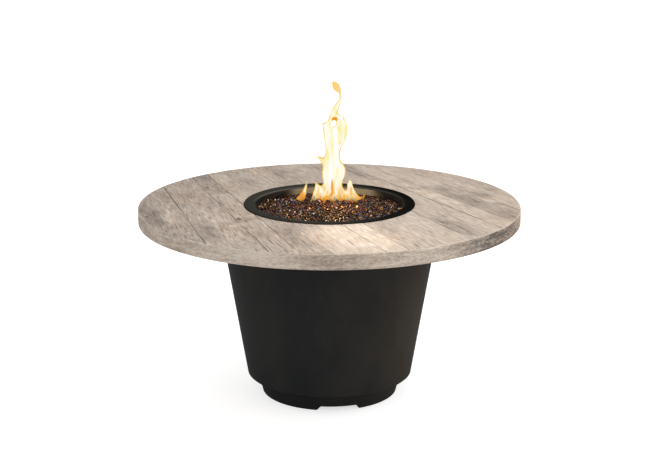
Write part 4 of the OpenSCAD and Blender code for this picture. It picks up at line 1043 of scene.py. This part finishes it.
def chips_over(surface_mesh, settings, material):
    """Runs the chip tree over a surface and gives back one plain mesh."""
    chips = [bpy.data.objects.new("chip_shape_%d" % seed, chip_mesh(seed)) for seed in range(CHIP_SHAPES)]
    carrier = bpy.data.objects.new("chip_carrier", surface_mesh.copy())
    helpers = chips + [carrier]
    for helper in helpers:
        bpy.context.scene.collection.objects.link(helper)
    group = chip_tree(material, chips)
    scatter = carrier.modifiers.new("scatter", "NODES")
    scatter.node_group = group
    values = {"Density": settings.chip_density, "Chip size": settings.chip_size, "Seed": settings.seed}
    for item in group.interface.items_tree:
        if item.in_out == "INPUT" and item.name in values:
            scatter[item.identifier] = values[item.name]
    bpy.context.view_layer.update()
    graph = bpy.context.evaluated_depsgraph_get()
    mesh = bpy.data.meshes.new_from_object(carrier.evaluated_get(graph))
    for helper in helpers:
        bpy.data.objects.remove(helper)
    return mesh


# Heights between which the flame's root fades in, its foot takes on the body's tones and its tip turns golden
FLAME_ROOT = (0.606, 0.642)
FLAME_FOOT = (0.628, 0.694)
FLAME_TIP = (0.935, 0.985)
# Width of the flame's golden edge and of the feathered line along it
FLAME_EDGE = 0.005
FLAME_FEATHER = 0.0008


def flame_material(settings):
    """Glowing gas: white inside, pale yellow in wisps, a thin golden edge and orange streaks at the foot."""
    paint = Finish("flame")
    x, _, z = paint.axes()
    rim = paint.attribute("flame_rim")
    wisp = paint.noise(paint.stretched(70.0, 70.0, 11.0), detail=3.0, distortion=0.6)
    fine = paint.noise(paint.stretched(170.0, 170.0, 17.0), detail=2.0, distortion=0.4)
    edge = paint.between(rim, 0.0, FLAME_EDGE, 1.0, 0.0)
    body = paint.ramp(wisp + edge * 0.34, (0.42, srgb(255, 255, 252)), (0.54, srgb(255, 251, 220)),
                      (0.66, srgb(254, 240, 172)), (0.80, srgb(248, 214, 112)), (0.95, srgb(232, 172, 74)))
    foot = paint.ramp(wisp * 0.55 + fine * 0.45 + edge * 0.10, (0.38, srgb(255, 253, 236)),
                      (0.48, srgb(255, 226, 142)), (0.56, srgb(248, 168, 44)), (0.66, srgb(206, 100, 14)),
                      (0.78, srgb(140, 62, 10)))
    low = paint.between(z + (fine - 0.5) * 0.06, *FLAME_FOOT, 1.0, 0.0)
    high = paint.between(z, *FLAME_TIP)
    colour = paint.mix(low, body, foot)
    colour = paint.mix(high * 0.8, colour, srgb(250, 200, 84))
    for right, height, wide, tall, strength in FLAME_SPOTS:
        away = ((x - right) / wide) ** 2 + ((z - height) / tall) ** 2
        colour = paint.mix(paint.between(away, 0.3, 1.0, strength, 0.0), colour, srgb(244, 152, 26))
    glow = paint.node("ShaderNodeEmission", None, {"Color": colour, "Strength": settings.flame_glow})
    clear = paint.node("ShaderNodeBsdfTransparent")
    root = paint.between(z + (wisp - 0.5) * 0.05 + (fine - 0.5) * 0.05, *FLAME_ROOT, 1.0, 0.0)
    feather = paint.between(rim, 0.0, FLAME_FEATHER, 0.5, 0.0)
    share = paint.node("ShaderNodeMath", {"operation": "MAXIMUM", "use_clamp": True}, {0: root, 1: feather})
    return paint.end(paint.node("ShaderNodeMixShader", None, {0: share, 1: glow, 2: clear}))


def closed_curve(corners, steps):
    """A smooth closed line through corner points, with some steps from each to the next."""
    count = len(corners)
    line = []
    for k in range(count):
        before, here, there, after = (Vector(corners[(k + shift) % count]) for shift in (-1, 0, 1, 2))
        bend = 2 * before - 5 * here + 4 * there - after
        twist = 3 * (here - there) + after - before
        for step in range(steps):
            t = step / steps
            line.append(here + 0.5 * t * (there - before + t * (bend + t * twist)))
    return line


def sides_of(loop):
    """The pairs of neighbouring corners of a closed line."""
    return zip(loop, loop[1:] + loop[:1])


def inside_loops(spot, loops):
    """Whether a point lies inside an odd number of closed lines."""
    within = False
    for loop in loops:
        for first, second in sides_of(loop):
            if (first.y > spot.y) != (second.y > spot.y):
                cross = first.x + (second.x - first.x) * (spot.y - first.y) / (second.y - first.y)
                within = within != (spot.x < cross)
    return within


def rim_distance(spot, loops):
    """Distance from a point to the nearest of some closed lines."""
    nearest = math.inf
    for loop in loops:
        for first, second in sides_of(loop):
            side = second - first
            share = max(0.0, min(1.0, (spot - first).dot(side) / side.length_squared))
            nearest = min(nearest, (spot - first - share * side).length)
    return nearest


def flame_mesh(name, outlines, settings):
    """A flame filled between its outlines, swelling to the front and the back away from them."""
    loops = [[corner / 1000 for corner in closed_curve(outline, 3)] for outline in outlines]
    spots = [corner for loop in loops for corner in loop]
    edges = []
    start = 0
    for loop in loops:
        edges += [(start + k, start + (k + 1) % len(loop)) for k in range(len(loop))]
        start += len(loop)
    step = settings.flame_step
    low = Vector((min(spot.x for spot in spots), min(spot.y for spot in spots)))
    high = Vector((max(spot.x for spot in spots), max(spot.y for spot in spots)))
    for row in range(int((high.y - low.y) / step)):
        for column in range(int((high.x - low.x) / step) + 1):
            spot = low + Vector((column + row % 2 / 2, row + 0.5)) * step
            if inside_loops(spot, loops) and rim_distance(spot, loops) > step / 2:
                spots.append(spot)
    flat, _, fills, *_ = delaunay_2d_cdt(spots, edges, [], 1, MERGE)
    rims = [rim_distance(spot, loops) for spot in flat]
    deep = [math.sqrt(rim * settings.flame_depth) for rim in rims]
    front = [(spot.x, settings.flame_back - bulge, spot.y) for spot, bulge in zip(flat, deep)]
    rear = [(spot.x, settings.flame_back + bulge, spot.y) for spot, bulge in zip(flat, deep)]
    faces = []
    for face in fills:
        middle = sum((flat[k] for k in face), Vector((0.0, 0.0))) / len(face)
        if inside_loops(middle, loops):
            faces.append(tuple(face))
            faces.append(tuple(len(flat) + k for k in reversed(face)))
    mesh = bpy.data.meshes.new(name)
    mesh.from_pydata(front + rear, [], faces)
    float_attribute(mesh, "flame_rim", rims + rims)
    return finish_mesh(mesh, mesh, 180, outward=False)


# Settings: the first functions each make a property from its label, its default and its description

def number(label, default, description):
    return FloatProperty(name=label, description=description, default=default)


def metres(label, default, description):
    return FloatProperty(name=label, description=description, default=default, unit="LENGTH")


def watts(label, default, description):
    return FloatProperty(name=label, description=description, default=default, unit="POWER")


def degrees(label, default, description):
    return FloatProperty(name=label, description=description, default=math.radians(default), subtype="ANGLE")


def whole_number(label, default, description):
    return IntProperty(name=label, description=description, default=default)


def screen_colour(label, default, description):
    colour = srgb(*default)[:3]
    return FloatVectorProperty(name=label, description=description, default=colour, subtype="COLOR")


class PlankTopSettings(bpy.types.PropertyGroup):
    """Sizes and tones of the cast plank top."""
    bearing: degrees("Plank bearing", 22.5, "Turn of the planks from the front-to-back line")
    spread: number("Spread", 0.27, "Share by which the planks widen for each metre towards the front")
    joint_width: metres("Joint width", 0.002, "Width of the joint between planks")
    joint_depth: metres("Joint depth", 0.0015, "Depth of the joint between planks")
    butt_width: metres("Butt width", 0.0016, "Width of the mark between plank ends")
    crack_width: metres("Crack width", 0.0016, "Half width of a crack along the grain")
    crack_depth: metres("Crack depth", 0.0012, "Depth of a crack along the grain")
    plank_step: metres("Plank step", 0.0006, "Largest height difference between planks")
    relief: metres("Relief", 0.00035, "Height of the slow swell of the grain")
    edge_round: metres("Edge round", 0.003, "Round of the slab's edges")
    edge_wear: metres("Edge wear", 0.0007, "Unevenness of the slab's side")
    hole_radius: metres("Hole radius", 0.246, "Radius of the hole for the pan")
    rebate_room: metres("Rebate room", 0.0015, "Room round the rim ring")
    rebate_depth: metres("Rebate depth", 0.006, "Depth of the rebate for the pan")
    row_step: metres("Row step", 0.006, "Distance between mesh rows")
    columns: whole_number("Columns", 72, "Mesh steps along half a plank")
    seed: whole_number("Seed", 5, "Seed of the plank differences")
    pale_tone: screen_colour("Pale tone", (246, 231, 216), "Palest worn grain")
    light_tone: screen_colour("Light tone", (222, 205, 188), "Light tone of the print")
    mid_tone: screen_colour("Middle tone", (182, 166, 152), "Mean tone of the print")
    dark_tone: screen_colour("Dark tone", (112, 101, 93), "Darkest tone of the print")
    warm_tone: screen_colour("Warm tone", (255, 240, 222), "Tint of the warmer patches")
    joint_tone: screen_colour("Joint tone", (70, 62, 58), "Colour in joints and cracks")


class PedestalSettings(bpy.types.PropertyGroup):
    """Tones of the black castings and the lean of the plinth."""
    plinth_flare: metres("Plinth flare", 0.016, "How far the plinth's wall leans out at its top")
    plinth_skin: metres("Plinth skin", 0.004, "Depth of the plinth's wall that leans out")
    dark: screen_colour("Dark", (37, 38, 39), "Darker tone of the castings")
    light: screen_colour("Light", (48, 48, 47), "Lighter tone of the castings")


class RimSettings(bpy.types.PropertyGroup):
    """Section and tones of the rim ring."""
    bead: metres("Bead", 0.0026, "Radius of the rolled bead")
    width: metres("Width", 0.033, "Width of the ring from its outside to its bore")
    chamfer: metres("Chamfer", 0.0004, "Chamfer under the outside")
    slope_in: metres("Slope reach", 0.006, "Distance from the bore to the foot of the slope")
    slope_rise: metres("Slope rise", 0.0038, "Height of the slope's foot")
    lip_in: metres("Lip reach", 0.0025, "Distance from the bore to the back of the lip")
    lip_round: metres("Lip round", 0.0015, "Radius of the lip at the bore")
    enamel: screen_colour("Enamel", (13, 13, 11), "Colour of the clean enamel")
    # Colour of the enamel where painted light falls, on the left of the rim
    lamplit: screen_colour("Lamplit", (60, 59, 53), "Colour of the dusty enamel")
    # Colour of the painted highlight along the rim's inner edge at the back
    worn: screen_colour("Worn", (108, 105, 96), "Colour of the worn inner edge")


class FireSettings(bpy.types.PropertyGroup):
    """Glass, flame and glow."""
    chip_size: metres("Chip size", 0.0108, "Mean size of a glass chip")
    chip_density: number("Chip density", 32000.0, "Chips on a square metre of the bed")
    crown: metres("Crown", 0.003, "Rise of the bed from the wall to the middle")
    wall_gap: metres("Wall gap", 0.0012, "Room between the solid bed and the pan's wall that chips fill")
    heap: metres("Heap", 0.005, "Unevenness of the bed")
    seed: whole_number("Seed", 11, "Seed of the scattered chips")
    bronze: screen_colour("Bronze", (124, 82, 40), "Colour of the bronze chips")
    copper: screen_colour("Copper", (182, 122, 62), "Colour of the copper chips")
    flame_back: metres("Flame back", 0.060, "Distance of the flame behind the middle")
    flame_depth: metres("Flame depth", 0.014, "Half depth of the flame at that distance from its edge")
    flame_step: metres("Flame step", 0.004, "Distance between mesh points in the flame")
    flame_glow: number("Flame glow", 1.0, "Strength of the flame's emission")
    glow_power: watts("Glow power", 7.5, "Power of the light that the flame throws forward")
    ember_power: watts("Ember power", 0.7, "Power of the warm light in the pan")


class StageSettings(bpy.types.PropertyGroup):
    """Floor, light and camera."""
    lens: number("Lens", 84.14, "Focal length on a 36 mm sensor, in mm")
    distance: metres("Distance", 4.8092, "Camera's distance in front of the middle")
    height: metres("Height", 1.7899, "Camera's height above the floor")
    pitch: degrees("Pitch", 14.861, "How far the camera looks down")
    yaw: degrees("Yaw", 0.042, "How far the camera looks right")
    sky: number("Sky", 0.70, "Light that the white surround gives")
    overhead_power: watts("Overhead power", 42.0, "Power of the large soft light overhead")
    side_power: watts("Side power", 150.0, "Power of the warm light at the right")
    floor_size: metres("Floor size", 60.0, "Side of the square floor")
    floor_glow: number("Floor glow", 0.65, "Own brightness of the pale floor")


# Operators

class FIRETABLE_OT_plank_top(bpy.types.Operator):
    """Casts the plank-printed top with its joints, worn edge and pan rebate"""
    bl_idname = "fire_table.plank_top"
    bl_label = "Plank top"

    def execute(self, context):
        scene = context.scene
        mesh = plank_top_mesh(scene.fire_table_top)
        material = finish_of("plank_concrete", scene)
        link_piece("plank_top", mesh, material, "table", "plank_concrete", "table_top")
        return {"FINISHED"}


class FIRETABLE_OT_castings(bpy.types.Operator):
    """Finishes the black pedestal, its plinth and the access door"""
    bl_idname = "fire_table.castings"
    bl_label = "Pedestal and plinth"

    def execute(self, context):
        scene = context.scene
        dress(scene, "pedestal", "access_door")
        mesh = flared_plinth(scene.fire_table_pedestal)
        material = finish_of("black_concrete", scene)
        link_piece("plinth_casting", mesh, material, "table", "black_concrete", "plinth")
        return {"FINISHED"}


class FIRETABLE_OT_pan_and_rim(bpy.types.Operator):
    """Finishes the fire pan and turns the rolled rim ring round it"""
    bl_idname = "fire_table.pan_and_rim"
    bl_label = "Fire pan and rim"

    def execute(self, context):
        scene = context.scene
        dress(scene, "fire_pan", "rim_gasket")
        mesh = rim_mesh(scene.fire_table_rim)
        link_piece("rim_ring", mesh, finish_of("rim_black", scene), "table", "rim_black", "pan_rim")
        return {"FINISHED"}


class FIRETABLE_OT_glass_bed(bpy.types.Operator):
    """Heaps reflective glass chips over the burner"""
    bl_idname = "fire_table.glass_bed"
    bl_label = "Glass bed"

    def execute(self, context):
        scene = context.scene
        settings = scene.fire_table_fire
        material = finish_of("fire_glass", scene)
        bed = bed_mesh(settings)
        chips = chips_over(bed, settings, material)
        if not chips.polygons:
            raise RuntimeError("the chip scatter came out empty")
        link_piece("glass_bed", bed, material, "table", "fire_glass", "fire_glass")
        link_piece("glass_chips", chips, material, "table", "fire_glass")
        return {"FINISHED"}


class FIRETABLE_OT_gas_train(bpy.types.Operator):
    """Finishes the burner, its feed, the hose, the valve, the igniter and the sensors"""
    bl_idname = "fire_table.gas_train"
    bl_label = "Burner and gas train"

    def execute(self, context):
        dress(context.scene, "burner_ring", "burner_nipple", "pan_locknuts", "air_mixer", "burner_elbow",
              "gas_hose", "hose_nuts", "hose_ferrules", "gas_valve", "inlet_fitting", "igniter_module",
              "igniter_cell", "ignition_lead", "spark_insulator", "spark_rod", "electrode_nut",
              "thermocouple", "thermocouple_nut", "thermocouple_lead")
        return {"FINISHED"}


class FIRETABLE_OT_controls(bpy.types.Operator):
    """Finishes the control plate with its gas knob and igniter button"""
    bl_idname = "fire_table.controls"
    bl_label = "Controls"

    def execute(self, context):
        dress(context.scene, "control_plate", "plate_screws", "valve_nut", "valve_stem", "gas_knob",
              "igniter_collar", "collar_nut", "igniter_button")
        return {"FINISHED"}


class FIRETABLE_OT_door_hardware(bpy.types.Operator):
    """Finishes the door's hinges, pull, stop and catch"""
    bl_idname = "fire_table.door_hardware"
    bl_label = "Door hardware"

    def execute(self, context):
        dress(context.scene, "door_stop", "stop_screws", "hinge_frame_leaves", "hinge_door_leaves",
              "hinge_pins", "hinge_frame_screws", "hinge_door_screws", "door_pull", "pull_screw",
              "catch_magnets", "strike_plates")
        return {"FINISHED"}


class FIRETABLE_OT_fasteners(bpy.types.Operator):
    """Finishes the bolts, washers, anchors and bedding that hold the castings together"""
    bl_idname = "fire_table.fasteners"
    bl_label = "Fasteners"

    def execute(self, context):
        dress(context.scene, "top_anchors", "top_bolts", "top_washers", "bedding_gasket", "plinth_bolts",
              "plinth_washers", "plinth_anchors")
        return {"FINISHED"}


# Place and target of each lamp
GLOW_AT = Vector((0.03, -0.20, 1.17))
GLOW_AIM = Vector((0.08, -0.42, TOP_HIGH.z))
EMBER_AT = Vector((0.015, 0.042, 0.650))
EMBER_AIM = Vector((0.015, 0.042, GLASS_HIGH.z))
OVERHEAD_AT = Vector((1.9, -0.5, 3.0))
OVERHEAD_AIM = Vector((0.0, 0.0, 0.5))
SIDE_AT = Vector((2.8, -0.9, 0.25))
SIDE_AIM = Vector((0.30, -0.1, 0.27))


def add_lamp(scene, kind, name, power, colour, place, target, **shape):
    """Adds a lamp at a place, looking at a target, with the settings of its shape."""
    light = bpy.data.lights.new(name, kind)
    light.energy = power
    light.color = colour[:3]
    for key, value in shape.items():
        setattr(light, key, value)
    lamp = bpy.data.objects.new(name, light)
    turn = (target - place).to_track_quat("-Z", "Y")
    lamp.matrix_world = Matrix.Translation(place) @ turn.to_matrix().to_4x4()
    scene.collection.objects.link(lamp)


class FIRETABLE_OT_flame(bpy.types.Operator):
    """Lights the fire: glowing tongues and their warm light, which belong to the stage"""
    bl_idname = "fire_table.flame"
    bl_label = "Flame"

    def execute(self, context):
        scene = context.scene
        settings = scene.fire_table_fire
        material = flame_material(settings)
        for name, outlines in (("tall_flame", [TALL_FLAME, FLAME_HOLE]), ("small_flame", [SMALL_FLAME])):
            mesh = flame_mesh(name, outlines, settings)
            mesh.materials.append(material)
            flame = bpy.data.objects.new(name, mesh)
            scene.collection.objects.link(flame)
        add_lamp(scene, "SPOT", "fire_glow", settings.glow_power, srgb(255, 244, 228), GLOW_AT, GLOW_AIM,
                 spot_size=math.radians(44), spot_blend=1.0, shadow_soft_size=0.05)
        add_lamp(scene, "POINT", "ember", settings.ember_power, srgb(255, 206, 140), EMBER_AT, EMBER_AIM,
                 shadow_soft_size=0.03)
        return {"FINISHED"}


def floor_material(settings):
    """Pale floor that shows bright to the camera and throws back a plain soft light."""
    paint = Finish("pale_floor")
    cloud = paint.noise(paint.even(1.5), detail=2.0)
    pale = paint.mix(cloud, srgb(232, 232, 232), srgb(238, 238, 238))
    lit = paint.node("ShaderNodeBsdfPrincipled", None, {
        "Base Color": pale, "Roughness": 0.9, "Emission Color": WHITE,
        "Emission Strength": settings.floor_glow})
    plain = paint.node("ShaderNodeBsdfDiffuse", None, {"Color": srgb(205, 205, 205)})
    seen = paint.node("ShaderNodeLightPath", output="Is Camera Ray")
    return paint.end(paint.node("ShaderNodeMixShader", None, {0: seen, 1: plain, 2: lit}))


def white_surround(settings):
    """White world that gives less light than it shows to the camera."""
    world = bpy.data.worlds.new("white_surround")
    world.use_nodes = True
    tree = Tree(world.node_tree)
    seen = tree.node("ShaderNodeLightPath", output="Is Camera Ray")
    glow = tree.node("ShaderNodeBackground", None, {"Color": WHITE, "Strength": settings.sky})
    backdrop = tree.node("ShaderNodeBackground", None, {"Color": WHITE, "Strength": 1.0})
    both = tree.node("ShaderNodeMixShader", None, {0: seen, 1: glow, 2: backdrop})
    tree.node("ShaderNodeOutputWorld", None, {"Surface": both})
    return world


class FIRETABLE_OT_stage(bpy.types.Operator):
    """Sets the pale floor, the soft light, the white surround and the camera"""
    bl_idname = "fire_table.stage"
    bl_label = "Stage"

    def execute(self, context):
        scene = context.scene
        settings = scene.fire_table_stage
        half = settings.floor_size / 2
        mesh = bpy.data.meshes.new("floor")
        corners = [(-half, -half, 0), (half, -half, 0), (half, half, 0), (-half, half, 0)]
        mesh.from_pydata(corners, [], [(0, 1, 2, 3)])
        mesh.materials.append(floor_material(settings))
        floor = bpy.data.objects.new("floor", mesh)
        scene.collection.objects.link(floor)
        scene.world = white_surround(settings)
        add_lamp(scene, "AREA", "overhead", settings.overhead_power, WHITE, OVERHEAD_AT, OVERHEAD_AIM,
                 shape="DISK", size=3.0)
        add_lamp(scene, "SPOT", "side", settings.side_power, srgb(255, 196, 108), SIDE_AT, SIDE_AIM,
                 spot_size=math.radians(13), spot_blend=1.0, shadow_soft_size=0.2)
        lens = bpy.data.cameras.new("camera")
        lens.lens = settings.lens
        lens.sensor_width = 36.0
        lens.sensor_fit = "HORIZONTAL"
        camera = bpy.data.objects.new("camera", lens)
        camera.location = (0.0, -settings.distance, settings.height)
        camera.rotation_euler = (math.pi / 2 - settings.pitch, 0.0, -settings.yaw)
        scene.collection.objects.link(camera)
        scene.camera = camera
        scene.view_settings.view_transform = "Standard"
        return {"FINISHED"}


class FIRETABLE_PT_panel(bpy.types.Panel):
    """Lists the table's settings and steps"""
    bl_idname = "FIRETABLE_PT_panel"
    bl_label = "Fire table"
    bl_space_type = "VIEW_3D"
    bl_region_type = "UI"
    bl_category = "Fire table"

    def draw(self, context):
        for holder, (label, _) in SETTINGS.items():
            box = self.layout.box()
            box.label(text=label)
            group = getattr(context.scene, holder)
            for name in type(group).__annotations__:
                box.prop(group, name)
        for operator in OPERATORS:
            self.layout.operator(operator.bl_idname)


SETTINGS = {
    "fire_table_top": ("Plank top", PlankTopSettings),
    "fire_table_pedestal": ("Castings", PedestalSettings),
    "fire_table_rim": ("Rim", RimSettings),
    "fire_table_fire": ("Fire", FireSettings),
    "fire_table_stage": ("Stage", StageSettings),
}
OPERATORS = (
    FIRETABLE_OT_stage, FIRETABLE_OT_plank_top, FIRETABLE_OT_castings, FIRETABLE_OT_pan_and_rim,
    FIRETABLE_OT_glass_bed, FIRETABLE_OT_gas_train, FIRETABLE_OT_controls, FIRETABLE_OT_door_hardware,
    FIRETABLE_OT_fasteners, FIRETABLE_OT_flame,
)
CLASSES = (*(group for _, group in SETTINGS.values()), *OPERATORS, FIRETABLE_PT_panel)


def register():
    for item in CLASSES:
        bpy.utils.register_class(item)
    for holder, (_, group) in SETTINGS.items():
        setattr(bpy.types.Scene, holder, PointerProperty(type=group))


def unregister():
    for holder in SETTINGS:
        delattr(bpy.types.Scene, holder)
    for item in reversed(CLASSES):
        bpy.utils.unregister_class(item)


def main():
    register()
    for operator in OPERATORS:
        group, name = operator.bl_idname.split(".")
        getattr(getattr(bpy.ops, group), name)()


if __name__ == "__main__":
    main()
